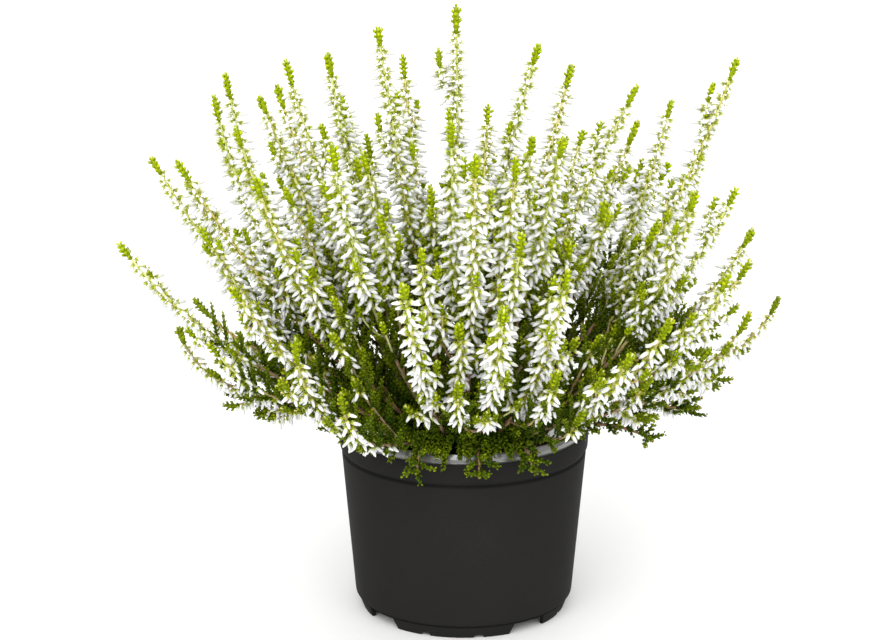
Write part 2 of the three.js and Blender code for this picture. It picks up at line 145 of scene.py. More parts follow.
SIDE_SHOOT = {
    "from": 0.25, "spread": 0.05, "share": 0.44, "opening": 36, "tries": 12, "room": 2.5, "rise": 0.75,
    "bend": 0.45, "end": 0.6, "shortest": 0.8, "longer": 0.4, "over_pot": 3}
SECOND_SHOOT = {"chance": 0.45, "higher": 0.075, "away": -0.3}
RIM_ROOM = {"beside": 2, "over_peat": 1}
OPEN_ROOM = 6
# Bearing, reach and height of the tip of each leafy shoot.
LEAFY_SHOOTS = [
    (-108, 70, 88), (-84, 69, 87), (-64, 72, 88.5), (-178, 97, 97), (-22, 96, 94), (84, 92, 90),
]
OPEN_RIM = (-56, -18)            # bearings between which no twig hangs over the rim
LEAFY_START = 47
LEAFY_ARCH = {"over": 57, "height": 102.5, "further": 4, "lower": 1}
STEP_ALONG = 2.5
# Within this reach of the axis, at each height, the shoots bear leaves only. It is wider than deep.
LEAFY_HEART = {"height": (95, 150, 168), "radius": (92, 74, 0), "wide": 1.08, "deep": 0.9}
# At these bearings the leaves reach further out: bearing, half the angle, and how much further.
LEAFY_WINDOWS = ((-117, 16, 0.32), (-40, 13, 0.30))
LOW_LEAN = 50                    # degrees from upright at which a low stem starts to flower
LATE_START = (0.8, 0.5)          # share at which such a stem flowers: in front and at the sides
LAST_START = 0.78                # share at which a shoot flowers at the latest
LOW_STEM = 172                   # a stem that ends below this height stays leafier than the others
# Stems this low and wide bear hanging sprays: where, how long, and how far they swing sideways.
HANGING = {
    "below": 195, "beyond": 125, "shares": (0.38, 0.66), "near_foot": (0.32, 0.42),
    "length": (18, 30), "swing": (-0.1, 0.9), "bend": 0.5, "end": 0.85}
FRONT_STEM = -105                # a stem that ends in front of this bears one more, near its foot

# Steps between the seeds, so that every use of chance has draws of its own.
DRAWS = {"branch": 100, "turn": 0.5, "second": 300}
# First seeds of the random numbers. Each stem and each leafy shoot has a seed of its own.
SEEDS = {"peat": 7, "stems": 100, "leafy_shoots": 300}

UP = np.array([0.0, 0.0, 1.0])
GOLDEN_ANGLE = math.radians(137.5)
ABOUT_A_TURN = 6                 # radians: the range of a random start


# ================================================================ sizes and colours that a user sets


class HeatherPlantSettings(bpy.types.PropertyGroup):
    bud_length: bpy.props.FloatProperty(
        name="Bud length", description="Length of a full bud without its stalk",
        default=0.0058, min=0.003, max=0.008, unit="LENGTH")
    bud_width: bpy.props.FloatProperty(
        name="Bud width", description="Greatest width of a full bud",
        default=0.00222, min=0.001, max=0.003, unit="LENGTH")
    bud_pitch: bpy.props.FloatProperty(
        name="Bud pitch", description="Length of stem to each bud where the buds stand densest",
        default=0.00095, min=0.0006, max=0.004, unit="LENGTH")
    twig_pitch: bpy.props.FloatProperty(
        name="Twig pitch", description="Length of stem to each leafy twig",
        default=0.0028, min=0.001, max=0.01, unit="LENGTH")
    petal: bpy.props.FloatVectorProperty(
        name="Petals", description="Colour of the closed petals",
        default=(0.785, 0.792, 0.797), size=3, min=0, max=1, subtype="COLOR")
    # Dark low leaves: partly the colour of older leaves, partly painted shade deep in the plant.
    dark_leaf: bpy.props.FloatVectorProperty(
        name="Old leaves", description="Colour of the leaves low in the plant",
        default=(0.040, 0.083, 0.001), size=3, min=0, max=1, subtype="COLOR")
    fresh_leaf: bpy.props.FloatVectorProperty(
        name="Fresh leaves", description="Colour of the leaves at the tips",
        default=(0.355, 0.445, 0.002), size=3, min=0, max=1, subtype="COLOR")
    old_bark: bpy.props.FloatVectorProperty(
        name="Old bark", description="Colour of the stems low in the plant",
        default=(0.24, 0.13, 0.08), size=3, min=0, max=1, subtype="COLOR")
    young_bark: bpy.props.FloatVectorProperty(
        name="Young bark", description="Colour of the stems between the buds",
        default=(0.80, 0.77, 0.36), size=3, min=0, max=1, subtype="COLOR")


class HeatherPotSettings(bpy.types.PropertyGroup):
    facets: bpy.props.IntProperty(
        name="Facets", description="Faces round the pot", default=128, min=48, max=256)
    plastic: bpy.props.FloatVectorProperty(
        name="Plastic", description="Colour of the pot",
        default=(0.0158, 0.0153, 0.0148), size=3, min=0, max=1, subtype="COLOR")


class HeatherPeatSettings(bpy.types.PropertyGroup):
    crumbs: bpy.props.IntProperty(
        name="Crumbs", description="Loose crumbs on the peat", default=300, min=0, max=3000)
    fibres: bpy.props.IntProperty(
        name="Fibres", description="Loose fibres on the peat", default=240, min=0, max=2000)
    dark: bpy.props.FloatVectorProperty(
        name="Dark peat", description="Colour of the damp peat",
        default=(0.030, 0.012, 0.006), size=3, min=0, max=1, subtype="COLOR")
    light: bpy.props.FloatVectorProperty(
        name="Light peat", description="Colour of the dry fibres",
        default=(0.20, 0.075, 0.03), size=3, min=0, max=1, subtype="COLOR")


class HeatherStageSettings(bpy.types.PropertyGroup):
    lens: bpy.props.FloatProperty(
        name="Lens", description="Focal length of the camera in millimetres",
        default=124.6, min=20, max=300)
    sky: bpy.props.FloatProperty(
        name="Sky", description="Strength of the light from all round", default=1.0, min=0, max=5)
    floor: bpy.props.FloatVectorProperty(
        name="Floor", description="Colour of the floor",
        default=(0.96, 0.96, 0.955), size=3, min=0, max=1, subtype="COLOR")


# ================================================================ small helpers


def unit(vectors):
    return vectors / np.linalg.norm(vectors, axis=-1, keepdims=True)


def chance(number):
    """The same number between 0 and 1 for the same number."""
    wave = math.sin(number * 12.9898) * 43758.5453
    return wave - math.floor(wave)


def turned(vectors, axis, angle):
    """Vectors turned about a unit axis."""
    return (vectors * math.cos(angle) + np.cross(axis, vectors) * math.sin(angle)
            + axis * np.dot(vectors, axis) * (1 - math.cos(angle)))


# ================================================================ the courses of the shoots


class Course:
    """A Bezier curve that is walked by its length, with a direction across it."""

    def __init__(self, controls, sideways):
        self.controls = np.array(controls, float)
        self.sideways = sideways
        self.steps = np.linspace(0, 1, CURVE_STEPS)
        chords = np.linalg.norm(np.diff(self.bezier(self.steps), axis=0), axis=1)
        self.reach = np.concatenate([[0], np.cumsum(chords)])
        self.length = self.reach[-1]

    def bezier(self, t):
        layer = np.repeat(self.controls[:, None], len(t), axis=1)
        while len(layer) > 1:
            layer = layer[:-1] * (1 - t[:, None]) + layer[1:] * t[:, None]
        return layer[0]

    def at(self, shares):
        shares = np.clip(np.atleast_1d(shares), 0, 1)
        return self.bezier(np.interp(shares * self.length, self.reach, self.steps))

    def along(self, shares):
        shares = np.clip(np.atleast_1d(shares), 0, 1)
        t = np.interp(shares * self.length, self.reach, self.steps)
        low, high = np.clip(t - CURVE_NUDGE, 0, 1), np.clip(t + CURVE_NUDGE, 0, 1)
        return unit(self.bezier(high) - self.bezier(low))

    def frames(self, shares):
        """Place, direction along and two directions across, at shares of the length."""
        along = self.along(shares)
        across = unit(np.cross(np.broadcast_to(self.sideways, along.shape), along))
        return self.at(shares), along, across, np.cross(along, across)

    def walk(self, start=0):
        """Points every few millimetres, from a share of the length on."""
        count = math.floor(self.length / STEP_ALONG + 0.5)
        shares = np.arange(count + 1) / count
        return self.at(shares[shares >= start])


class Room:
    """The shoots laid out so far, from which the next ones keep clear."""

    def __init__(self):
        self.points = np.empty((0, 3))
        self.stems = np.empty(0, int)

    def round(self, points, stem):
        others = self.points[self.stems != stem]
        if not len(others):
            return math.inf
        gaps = np.linalg.norm(points[:, None] - others[None], axis=2)
        return gaps.min() - SPRAY_CORE

    def take(self, course, stem):
        points = course.walk()
        self.points = np.concatenate([self.points, points])
        self.stems = np.concatenate([self.stems, np.full(len(points), stem)])


def peat_top(radius):
    if radius < PEAT_SHOULDER["radius"]:
        share = radius / PEAT_SHOULDER["radius"]
        return PEAT_MIDDLE + (PEAT_SHOULDER["height"] - PEAT_MIDDLE) * share
    share = (radius - PEAT_SHOULDER["radius"]) / (POT_INSIDE - PEAT_SHOULDER["radius"])
    return PEAT_SHOULDER["height"] + (PEAT_EDGE - PEAT_SHOULDER["height"]) * share


def room_over_pot(point):
    """Free height over the peat and the rim, or free width beside the rim."""
    radius = math.hypot(point[0], point[1])
    if radius > RIM_RADIUS + RIM_ROOM["beside"]:
        return max(radius - RIM_RADIUS, point[2] - POT_HEIGHT)
    if radius < POT_INSIDE - RIM_ROOM["beside"]:
        return point[2] - (peat_top(radius) + RIM_ROOM["over_peat"])
    return point[2] - POT_HEIGHT


def leaning(bearing, lean):
    return np.array([
        math.sin(lean) * math.cos(bearing), math.sin(lean) * math.sin(bearing), math.cos(lean)])


def leader_course(tip, end_lean, bow):
    bearing = math.atan2(tip[1], tip[0])
    start = CROWN * math.sin(math.atan2(math.hypot(tip[0], tip[1]), tip[2] - PEAT_EDGE))
    foot = np.array([
        start * math.cos(bearing), start * math.sin(bearing), peat_top(start) + STEM_FOOT])
    chord = tip - foot
    reach = np.linalg.norm(chord)
    start_lean = min(math.radians(STEEPEST), 2 * math.acos(chord[2] / reach) - end_lean)
    sideways = np.array([-math.sin(bearing), math.cos(bearing), 0])
    first = foot + leaning(bearing, start_lean) * HANDLE * reach + sideways * bow * LOW_BOW
    second = tip - leaning(bearing, end_lean) * HANDLE * reach + sideways * bow
    return Course([foot, first, second, tip], sideways)


def lay_leader(entry, stem, room):
    """The straightest course that keeps clear of the stems laid out before."""
    best, best_room = None, -math.inf
    for bow in BOWS:
        course = leader_course(np.array(entry[:3], float), math.radians(entry[3]), bow)
        free = room.round(course.walk(CLEAR_FROM), stem) - abs(bow) * BOW_COST
        if free > best_room or best is None:
            best, best_room = course, free
        if free > OPEN_ROOM:
            break
    room.take(best, stem)
    return best


def side_course(leader, start, length, turn, opening=SIDE_SHOOT["opening"], rise=SIDE_SHOOT["rise"]):
    root = leader.at(start)[0]
    along = leader.along(start)[0]
    across = turned(unit(np.cross(leader.sideways, along)), along, turn)
    hinge = unit(np.cross(along, across))
    bend = root + turned(along, hinge, math.radians(opening)) * length * SIDE_SHOOT["bend"]
    end = bend + unit(along + UP * rise) * length * SIDE_SHOOT["end"]
    return Course([root, bend, end], hinge)


def lay_side_shoot(leader, stem, start, branch, away, room):
    """Of several turns round the stem, the one with the most room."""
    draw = stem + DRAWS["branch"] * branch
    size = SIDE_SHOOT["shortest"] + SIDE_SHOOT["longer"] * chance(draw)
    length = leader.length * SIDE_SHOOT["share"] * size
    best, best_room, best_turn = None, -math.inf, 0
    for attempt in range(SIDE_SHOOT["tries"]):
        turn = 2 * math.pi * (attempt / SIDE_SHOOT["tries"] + chance(draw + DRAWS["turn"]))
        if away is not None and math.cos(turn - away) > SECOND_SHOOT["away"]:
            continue
        course = side_course(leader, start, length, turn)
        over_pot = min(room_over_pot(point) for point in course.walk())
        free = min(room.round(course.walk(CLEAR_FROM), stem), over_pot - SIDE_SHOOT["over_pot"])
        if free > best_room or best is None:
            best, best_room, best_turn = course, free, turn
    return best, best_room, best_turn


def lay_forks(leader, stem, room):
    """A side shoot on each stem, and a second, higher one on some, where there is room."""
    start = SIDE_SHOOT["from"] + SIDE_SHOOT["spread"] * chance(stem)
    found = [lay_side_shoot(leader, stem, start, 1, None, room)]
    if chance(stem + DRAWS["second"]) < SECOND_SHOOT["chance"]:
        higher = start + SECOND_SHOOT["higher"]
        found.append(lay_side_shoot(leader, stem, higher, 2, found[0][2], room))
    kept = [course for course, free, _ in found if free > SIDE_SHOOT["room"]]
    for course in kept:
        room.take(course, stem)
    return kept


def leafy_course(entry):
    bearing = math.radians(entry[0])

    def at(radius, height):
        return np.array([radius * math.cos(bearing), radius * math.sin(bearing), height])

    sideways = np.array([-math.sin(bearing), math.cos(bearing), 0])
    return Course([
        at(LEAFY_START, peat_top(LEAFY_START) + STEM_FOOT),
        at(LEAFY_ARCH["over"], LEAFY_ARCH["height"]),
        at((entry[1] + RIM_RADIUS) / 2 + LEAFY_ARCH["further"],
           LEAFY_ARCH["height"] - LEAFY_ARCH["lower"]),
        at(entry[1], entry[2]),
    ], sideways)


def lay_plant():
    """Every stem's main course and side courses, as in the solids."""
    room = Room()
    leaders = [lay_leader(entry, stem, room) for stem, entry in enumerate(STEM_TIPS)]
    return [(leader, lay_forks(leader, stem, room)) for stem, leader in enumerate(leaders)]


# ================================================================ patterns and meshes


CELL_MARGIN = 0.06               # share of a cell of the map that stays free at each edge
BUD_SIDES = 5
# Outline of a bud: shares of its length, and of half its width.
BUD_OUTLINE = ((0, 0), (0.12, 0.78), (0.42, 1), (0.80, 0.66), (1, 0))
STALK = {"length": 1.5, "radius": 0.28, "widest": 0.8, "sunk": 0.4, "sides": 3}
# The green scales at a bud's base: degrees they lean out, and where they grow from.
CALYX = {"scales": 3, "size": 2.35, "lean": 24, "first": 0.5, "lower": 0.5, "off_axis": 0.3}
# Parts of a bud on the colour ramp of its material.
BUD_SHADES = {"stalk": (0.0, 0.16), "calyx": (0.18, 0.30), "petals": (0.36, 1.0)}


class Pattern:
    """A small closed shape that is placed many times."""

    def __init__(self, points, faces, shade, corners):
        self.points = np.array(points, float)
        self.faces = np.array(faces, int)
        self.shade = np.array(shade, float)      # place on the colour ramp of its material
        self.corners = np.array(corners, float)  # map coordinates of each face's corners

    def moved(self, scale=1.0, shift=(0, 0, 0), shade=None):
        values = self.shade if shade is None else shade[0] + (shade[1] - shade[0]) * self.shade
        return Pattern(self.points * scale + np.array(shift), self.faces, values, self.corners)


def joined(patterns):
    """Several patterns as one, side by side in the map."""
    points, faces, shades, corners, start = [], [], [], [], 0
    for place, pattern in enumerate(patterns):
        points.append(pattern.points)
        faces.append(pattern.faces + start)
        shades.append(pattern.shade)
        corners.append(pattern.corners * [1 / len(patterns), 1] + [place / len(patterns), 0])
        start += len(pattern.points)
    return Pattern(*(np.concatenate(part) for part in (points, faces, shades, corners)))


def lathed(rings, sides):
    """A closed skin round the x axis, from a point over rings of (place, radius) to a point."""
    (start, _), *middle, (end, _) = rings
    angles = np.arange(sides) * 2 * math.pi / sides
    points, shade = [[start, 0, 0]], [0.0]
    for place, radius in middle:
        points += [[place, radius * math.cos(a), radius * math.sin(a)] for a in angles]
        shade += [(place - start) / (end - start)] * sides
    points.append([end, 0, 0])
    shade.append(1.0)
    faces, corners = [], []
    last = len(middle) - 1
    for side in range(sides):
        here, there = side, (side + 1) % sides
        u, v = side / sides, (side + 1) / sides
        faces.append([0, 1 + there, 1 + here])
        corners.append([[(u + v) / 2, 0], [v, shade[1]], [u, shade[1]]])
        for ring in range(last):
            low, high = 1 + ring * sides, 1 + (ring + 1) * sides
            below, above = shade[low], shade[high]
            faces.append([low + here, low + there, high + there])
            corners.append([[u, below], [v, below], [v, above]])
            faces.append([low + here, high + there, high + here])
            corners.append([[u, below], [v, above], [u, above]])
        top = 1 + last * sides
        faces.append([top + here, top + there, len(points) - 1])
        corners.append([[u, shade[top]], [v, shade[top]], [(u + v) / 2, 1]])
    return Pattern(points, faces, shade, corners)


def solid_of(points, faces):
    """A small closed shape that is thick round its middle, with its faces turned outwards."""
    points = np.array(points, float)
    middle = points.mean(axis=0)
    outward = []
    for a, b, c in faces:
        normal = np.cross(points[b] - points[a], points[c] - points[a])
        outward.append([a, b, c] if np.dot(normal, points[a] - middle) > 0 else [a, c, b])
    span = np.ptp(points, axis=0)
    flat = (points - points.min(axis=0)) / span
    corners = [[[flat[i][1], flat[i][0]] for i in face] for face in outward]
    return Pattern(points, outward, flat[:, 0], corners)


def scale_leaf():
    """A pointed scale, thick along its back: it grows along x and its back faces z."""
    return solid_of(
        [[0, 0, 0.16], [0.42, 0.36, -0.12], [0.42, -0.36, -0.12], [1, 0, 0.20]],
        [[0, 1, 3], [0, 3, 2], [1, 2, 3], [0, 2, 1]])


def full_leaf():
    """A rounder, thicker scale for the tips."""
    return solid_of(
        [[0, 0, 0], [0.56, 0.42, 0], [0.56, -0.42, 0], [0.6, 0, 0.36], [0.5, 0, -0.2], [1, 0, 0.1]],
        [[0, 1, 3], [0, 3, 2], [0, 2, 4], [0, 4, 1], [5, 3, 1], [5, 2, 3], [5, 4, 2], [5, 1, 4]])


def bud_pattern(length, width):
    """A closed bud on its stalk, with three small green scales at its base."""
    body = lathed([(along * length, out * width / 2) for along, out in BUD_OUTLINE], BUD_SIDES)
    body = body.moved(shift=(STALK["length"], 0, 0), shade=BUD_SHADES["petals"])
    stalk = lathed([
        (-STALK["sunk"], 0), (STALK["widest"], STALK["radius"]),
        (STALK["length"] + STALK["sunk"], 0)], STALK["sides"])
    parts = [body, stalk.moved(shade=BUD_SHADES["stalk"])]
    lean = math.radians(CALYX["lean"])
    base = np.array([STALK["length"] - CALYX["lower"], 0, 0])
    for turn in range(CALYX["scales"]):
        angle = turn * 2 * math.pi / CALYX["scales"] + CALYX["first"]
        outward = np.array([0, math.cos(angle), math.sin(angle)])
        x_axis = np.array([math.cos(lean), 0, 0]) + outward * math.sin(lean)
        z_axis = outward * math.cos(lean) - np.array([math.sin(lean), 0, 0])
        axes = np.array([x_axis, np.cross(z_axis, x_axis), z_axis])
        scale = scale_leaf().moved(scale=CALYX["size"])
        scale.points = scale.points @ axes + base + outward * CALYX["off_axis"]
        parts.append(scale.moved(shade=BUD_SHADES["calyx"]))
    return joined(parts)


def crumb():
    """A rounded lump of twenty faces."""
    ball = bmesh.new()
    bmesh.ops.create_icosphere(ball, subdivisions=1, radius=0.5)
    points = [vert.co[:] for vert in ball.verts]
    faces = [[vert.index for vert in face.verts] for face in ball.faces]
    ball.free()
    return solid_of(points, faces)


class Growth:
    """Collects placed patterns and tubes, and joins them in one mesh."""

    def __init__(self):
        self.points, self.faces, self.corners = [], [], []
        self.values = {"shade": [], "draw": [], "fresh": []}
        self.count = 0
        self.cells = 0

    def store(self, points, faces, corners, cells, shade, draw, fresh):
        self.points.append(points)
        self.faces.append(faces + self.count)
        self.corners.append((corners, cells))
        for name, value in (("shade", shade), ("draw", draw), ("fresh", fresh)):
            self.values[name].append(np.broadcast_to(value, len(points)))
        self.count += len(points)

    def place(self, pattern, origins, axes, sizes, draws, fresh):
        """Copies of a pattern, each with its place, its three axes, its size and two values."""
        number = len(origins)
        if not number:
            return
        sizes = np.asarray(sizes, float).reshape(number, 1, -1)
        points = np.einsum("npi,nij->npj", pattern.points[None] * sizes, axes) + origins[:, None]
        each = len(pattern.points)
        faces = pattern.faces[None] + (np.arange(number) * each)[:, None, None]
        corners = np.repeat(pattern.corners[None], number, axis=0)
        cells = np.repeat(np.arange(number) + self.cells, len(pattern.faces))
        self.cells += number
        self.store(
            points.reshape(-1, 3), faces.reshape(-1, 3), corners.reshape(-1, 3, 2), cells,
            np.tile(pattern.shade, number), np.repeat(draws, each),
            np.repeat(np.broadcast_to(fresh, number), each))

    def tube(self, centres, across, aside, radii, sides, draw, fresh, shades):
        """A tube through rings, closed by a point at each end."""
        angles = np.arange(sides) * 2 * math.pi / sides
        rings = (centres[:, None]
                 + across[:, None] * (np.cos(angles)[None, :, None] * radii[:, None, None])
                 + aside[:, None] * (np.sin(angles)[None, :, None] * radii[:, None, None]))
        pattern = lathed([(i, 1) for i in range(-1, len(centres) + 1)], sides)
        points = np.concatenate([centres[:1], rings.reshape(-1, 3), centres[-1:]])
        shade = np.concatenate([shades[:1], np.repeat(shades, sides), shades[-1:]])
        cells = np.full(len(pattern.faces), self.cells)
        self.cells += 1
        self.store(points, pattern.faces, pattern.corners, cells, shade, draw, fresh)

    def mesh(self, name):
        points = np.concatenate(self.points) * MM
        faces = np.concatenate(self.faces)
        columns = max(1, math.ceil(math.sqrt(self.cells)))
        maps = []
        for corners, cells in self.corners:
            corner = np.stack([cells % columns, cells // columns], axis=1)[:, None]
            maps.append((corner + CELL_MARGIN + (1 - 2 * CELL_MARGIN) * corners) / columns)
        mesh = bpy.data.meshes.new(name)
        mesh.vertices.add(len(points))
        mesh.vertices.foreach_set("co", points.astype(np.float32).ravel())
        mesh.loops.add(3 * len(faces))
        mesh.loops.foreach_set("vertex_index", faces.astype(np.int32).ravel())
        mesh.polygons.add(len(faces))
        mesh.polygons.foreach_set("loop_start", np.arange(0, 3 * len(faces), 3, dtype=np.int32))
        mesh.polygons.foreach_set("use_smooth", np.ones(len(faces), bool))
        layer = mesh.uv_layers.new(name=BAKE_MAP)
        layer.data.foreach_set("uv", np.concatenate(maps).astype(np.float32).ravel())
        for value, parts in self.values.items():
            attribute = mesh.attributes.new(value, "FLOAT", "POINT")
            attribute.data.foreach_set("value", np.concatenate(parts).astype(np.float32))
        mesh.update(calc_edges=True)
        return mesh


def show(mesh, material, slot, *nodes):
    """A piece of the object, in place of the solids that it stands for."""
    piece = bpy.data.objects.new(mesh.name, mesh)
    bpy.context.scene.collection.objects.link(piece)
    mesh.materials.append(material)
    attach(piece, "root")
    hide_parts(*nodes)


def remade(name):
    """Clears away an earlier object of that name, so that a button can be pressed again."""
    old = bpy.data.objects.get(name)
    if old is not None:
        bpy.data.objects.remove(old)
    return name


# ================================================================ what the shoots bear


# A pair of lists is a curve: places along a shoot or heights in the plant, and the values there.
# A pair of numbers after "vary" is the range of a random factor or addition, and a single number
# there is the spread of a random addition.
WOOD = {"step": 4.0, "fewest": 3, "waves": 0.07, "pace": 61, "shift": 9}
BUDS = {
    "core": 0.5,                             # radius of the stem that they stand on
    "sunk": 0.6,                             # share of it at which a bud begins
    "vary_pitch": (0.75, 1.25),
    "vary_turn": 0.2,
    "turned_down": 0.55,                     # how far a bud on the upper side leans back
    "droop": ([105, 200], [0.55, 0.0]),
    "vary_droop": (0, 0.42),
    "ahead": (0.02, 0.13),                   # middle and spread of the lean along the shoot
    "size_along": ([0, 0.8, 1], [1.0, 0.98, 0.92]),
    "size_up": ([100, 185], [0.78, 1.0]),
    "vary_size": (0.86, 1.08),
    "fresh": ([0, 0.7, 1], [0.0, 0.15, 0.7]),
    "vary_fresh": 0.1,
}
LEAF_PAIR = {"vary_turn": 0.12, "vary_lean": 0.09, "vary_size": (0.85, 1.15)}
TIP = {
    "pitch": 1.15,
    "fewest": 4,
    "stops": 1.4,                            # the last leaves stand this far from the end
    "bulge": ([0, 0.3, 0.75, 1], [0.62, 0.95, 1.0, 0.60]),
    "waves": 0.14,
    "pace": 17,
    "spread": ([0, 0.6, 1], [0.56, 0.48, 0.22]),
    "leaf": 2.6,
    "sunk": 0.7,                             # share of the width at which a leaf begins
    "core": 1.15,
    "core_sides": 5,
    "core_draw": 0.5,
    "core_fresh": 0.75,
    "core_shades": (0.3, 0.6),
    # Painted shade: the lower a green tip ends, the duller and darker its leaves and core.
    "light": ([110, 195], [0.50, 1.0]),
    "fresh": ([0, 0.4, 1], [0.72, 0.9, 1.0]),
}
TWIG = {
    "leaf": 2.3,
    "pitch": 1.22,
    "fewest": 4,
    "size": ([0, 0.2, 0.8, 1], [0.75, 1.0, 0.95, 0.7]),
    "spread": 0.38,
    "from_axis": 0.40,
    "core": ([0, 0.4, 1], [0.5, 0.85, 0.55]),
    "core_sides": 3,
    "core_shade": 0.4,
    "core_draw": 0.4,
    # Painted shade: the leaves at a twig's root keep only this share of its freshness.
    "shaded_root_share": 0.4,
    "tip_fresh": 0.26,
    "tip_power": 2.5,
}


def axes_from(x_axes, near_z):
    """Right-handed axes with the given x, and with z as near as can be to another direction."""
    y_axes = unit(np.cross(near_z, x_axes))
    return np.stack([x_axes, y_axes, np.cross(x_axes, y_axes)], axis=1)


def radial(across, aside, angles):
    """Directions out from a shoot, at angles round it."""
    return across * np.cos(angles)[:, None] + aside * np.sin(angles)[:, None]


def add_wood(growth, course, radii, shades, draw, sides):
    """The bark of a shoot, with a curve of its radius and the shades at its foot and its tip."""
    shares = np.linspace(0, 1, max(WOOD["fewest"], round(course.length / WOOD["step"])))
    centres, _, across, aside = course.frames(shares)
    wave = 1 + WOOD["waves"] * np.sin(shares * WOOD["pace"] + draw * WOOD["shift"])
    sizes = np.interp(shares, *radii) * wave
    tints = np.interp(shares, [0, 1], shades)
    growth.tube(centres, across, aside, sizes, sides, draw, 0.0, tints)


def bud_places(course, start, end, pitch, rng, sparse):
    """Shares of a shoot's length at which its buds stand, further apart towards its end."""
    places, place = [], start
    while place < end:
        share = (place - start) / (end - start)
        places.append(place)
        place += pitch * (1 + sparse * share) * rng.uniform(*BUDS["vary_pitch"]) / course.length
    return np.array(places)


def add_buds(growth, pattern, course, start, end, pitch, rng, sparse):
    """Buds all round a shoot: a little smaller and greener towards its end."""
    places = bud_places(course, start, end, pitch, rng, sparse)
    number = len(places)
    if not number:
        return
    share = (places - start) / (end - start)
    centres, along, across, aside = course.frames(places)
    height = centres[:, 2]
    angles = rng.uniform(0, 2 * math.pi) + np.arange(number) * GOLDEN_ANGLE
    angles = angles + rng.normal(0, BUDS["vary_turn"], number)
    outward = radial(across, aside, angles)
    hanging = outward - UP * BUDS["turned_down"] * outward[:, 2:].clip(0)
    droop = (np.interp(height, *BUDS["droop"]) + rng.uniform(*BUDS["vary_droop"], number))[:, None]
    ahead = rng.normal(*BUDS["ahead"], number)[:, None]
    direction = unit(hanging + along * ahead - UP * droop)
    size = np.interp(share, *BUDS["size_along"]) * rng.uniform(*BUDS["vary_size"], number)
    size = size * np.interp(height, *BUDS["size_up"])
    fresh = np.interp(share, *BUDS["fresh"]) + rng.normal(0, BUDS["vary_fresh"], number)
    growth.place(pattern, centres + outward * BUDS["core"] * BUDS["sunk"],
                 axes_from(direction, along), size, rng.random(number), fresh.clip(0, 1))


def add_scales(growth, pattern, centres, along, across, aside, lengths, spread, core, rng, fresh):
    """Crossed pairs of leaves, one pair at each place."""
    number = len(centres)
    angles = np.arange(number) * math.pi / 2 + rng.uniform(0, math.pi)
    angles = angles + rng.normal(0, LEAF_PAIR["vary_turn"], number)
    for half in (0, math.pi):
        outward = radial(across, aside, angles + half)
        lean = spread + rng.normal(0, LEAF_PAIR["vary_lean"], number)
        direction = unit(along * np.cos(lean)[:, None] + outward * np.sin(lean)[:, None])
        sizes = lengths * rng.uniform(*LEAF_PAIR["vary_size"], number)
        growth.place(pattern, centres + outward * core, axes_from(direction, outward),
                     sizes, rng.random(number), fresh)


def add_leafy_tip(growth, pattern, course, start, rng, width):
    """The thick, fresh green end of a shoot."""
    number = max(TIP["fewest"], round(course.length * (1 - start) / TIP["pitch"]))
    shares = np.linspace(start, 1 - TIP["stops"] / course.length, number)
    centres, along, across, aside = course.frames(shares)
    rise = np.linspace(0, 1, number)
    bulge = np.interp(rise, *TIP["bulge"])
    bulge = bulge * (1 + TIP["waves"] * np.sin(rise * TIP["pace"] + rng.uniform(0, ABOUT_A_TURN)))
    # Painted shade: tips low in the plant get darker leaves and core.
    light = np.interp(centres[-1][2], *TIP["light"])
    add_scales(growth, pattern, centres, along, across, aside, TIP["leaf"] * width * bulge,
               np.interp(rise, *TIP["spread"]), TIP["sunk"] * (width * bulge[:, None]), rng,
               np.interp(rise, *TIP["fresh"]) * light)
    rings = np.unique([0, number // 3, 2 * number // 3, number - 1])
    growth.tube(centres[rings], across[rings], aside[rings], TIP["core"] * width * bulge[rings],
                TIP["core_sides"], TIP["core_draw"], TIP["core_fresh"] * light,
                np.linspace(*TIP["core_shades"], len(rings)))


def add_twigs(growth, pattern, twigs, rng, fresh, leaf=TWIG["leaf"], pitch=TWIG["pitch"]):
    """Leafy twigs, covered with small scales: each runs from its root past a bend to its end, its
    leaves darkened towards the root by painted shade.
    """
    for (root, bend, end), freshness in zip(twigs, fresh):
        length = np.linalg.norm(bend - root) + np.linalg.norm(end - bend)
        count = max(TWIG["fewest"], round(length / pitch))
        share = np.linspace(0, 1, count)
        t = share[:, None]
        centres = root * (1 - t) ** 2 + bend * 2 * t * (1 - t) + end * t ** 2
        along = unit((bend - root) * (1 - t) + (end - bend) * t)
        steady = unit(np.cross(bend - root, UP) + np.array([CURVE_NUDGE, 0, 0]))
        across = unit(np.cross(np.broadcast_to(steady, along.shape), along))
        aside = np.cross(along, across)
        sizes = leaf * np.interp(share, *TWIG["size"])
        # Painted shade: the leaves darken towards the twig's root.
        root_shaded_fresh = freshness * (TWIG["shaded_root_share"] + (1 - TWIG["shaded_root_share"]) * share)
        end_fresh = TWIG["tip_fresh"] + TWIG["tip_fresh"] * freshness
        leaf_fresh = root_shaded_fresh + end_fresh * share ** TWIG["tip_power"]
        add_scales(growth, pattern, centres[1:], along[1:], across[1:], aside[1:], sizes[1:],
                   TWIG["spread"], TWIG["from_axis"], rng, leaf_fresh[1:])
        rings = np.unique([0, count // 2, count - 1])
        growth.tube(centres[rings], across[rings], aside[rings],
                    np.interp(share[rings], *TWIG["core"]), TWIG["core_sides"],
                    TWIG["core_draw"], freshness, share[rings] * TWIG["core_shade"])


# ================================================================ materials


def new_material(name, **constants):
    """A material with its shader, on which constant values are set."""
    material = bpy.data.materials.get(name)
    if material is not None:
        bpy.data.materials.remove(material)
    material = bpy.data.materials.new(name)
    material.use_nodes = True
    shader = material.node_tree.nodes["Principled BSDF"]
    for socket, value in constants.items():
        shader.inputs[socket].default_value = value
    return material, material.node_tree, shader


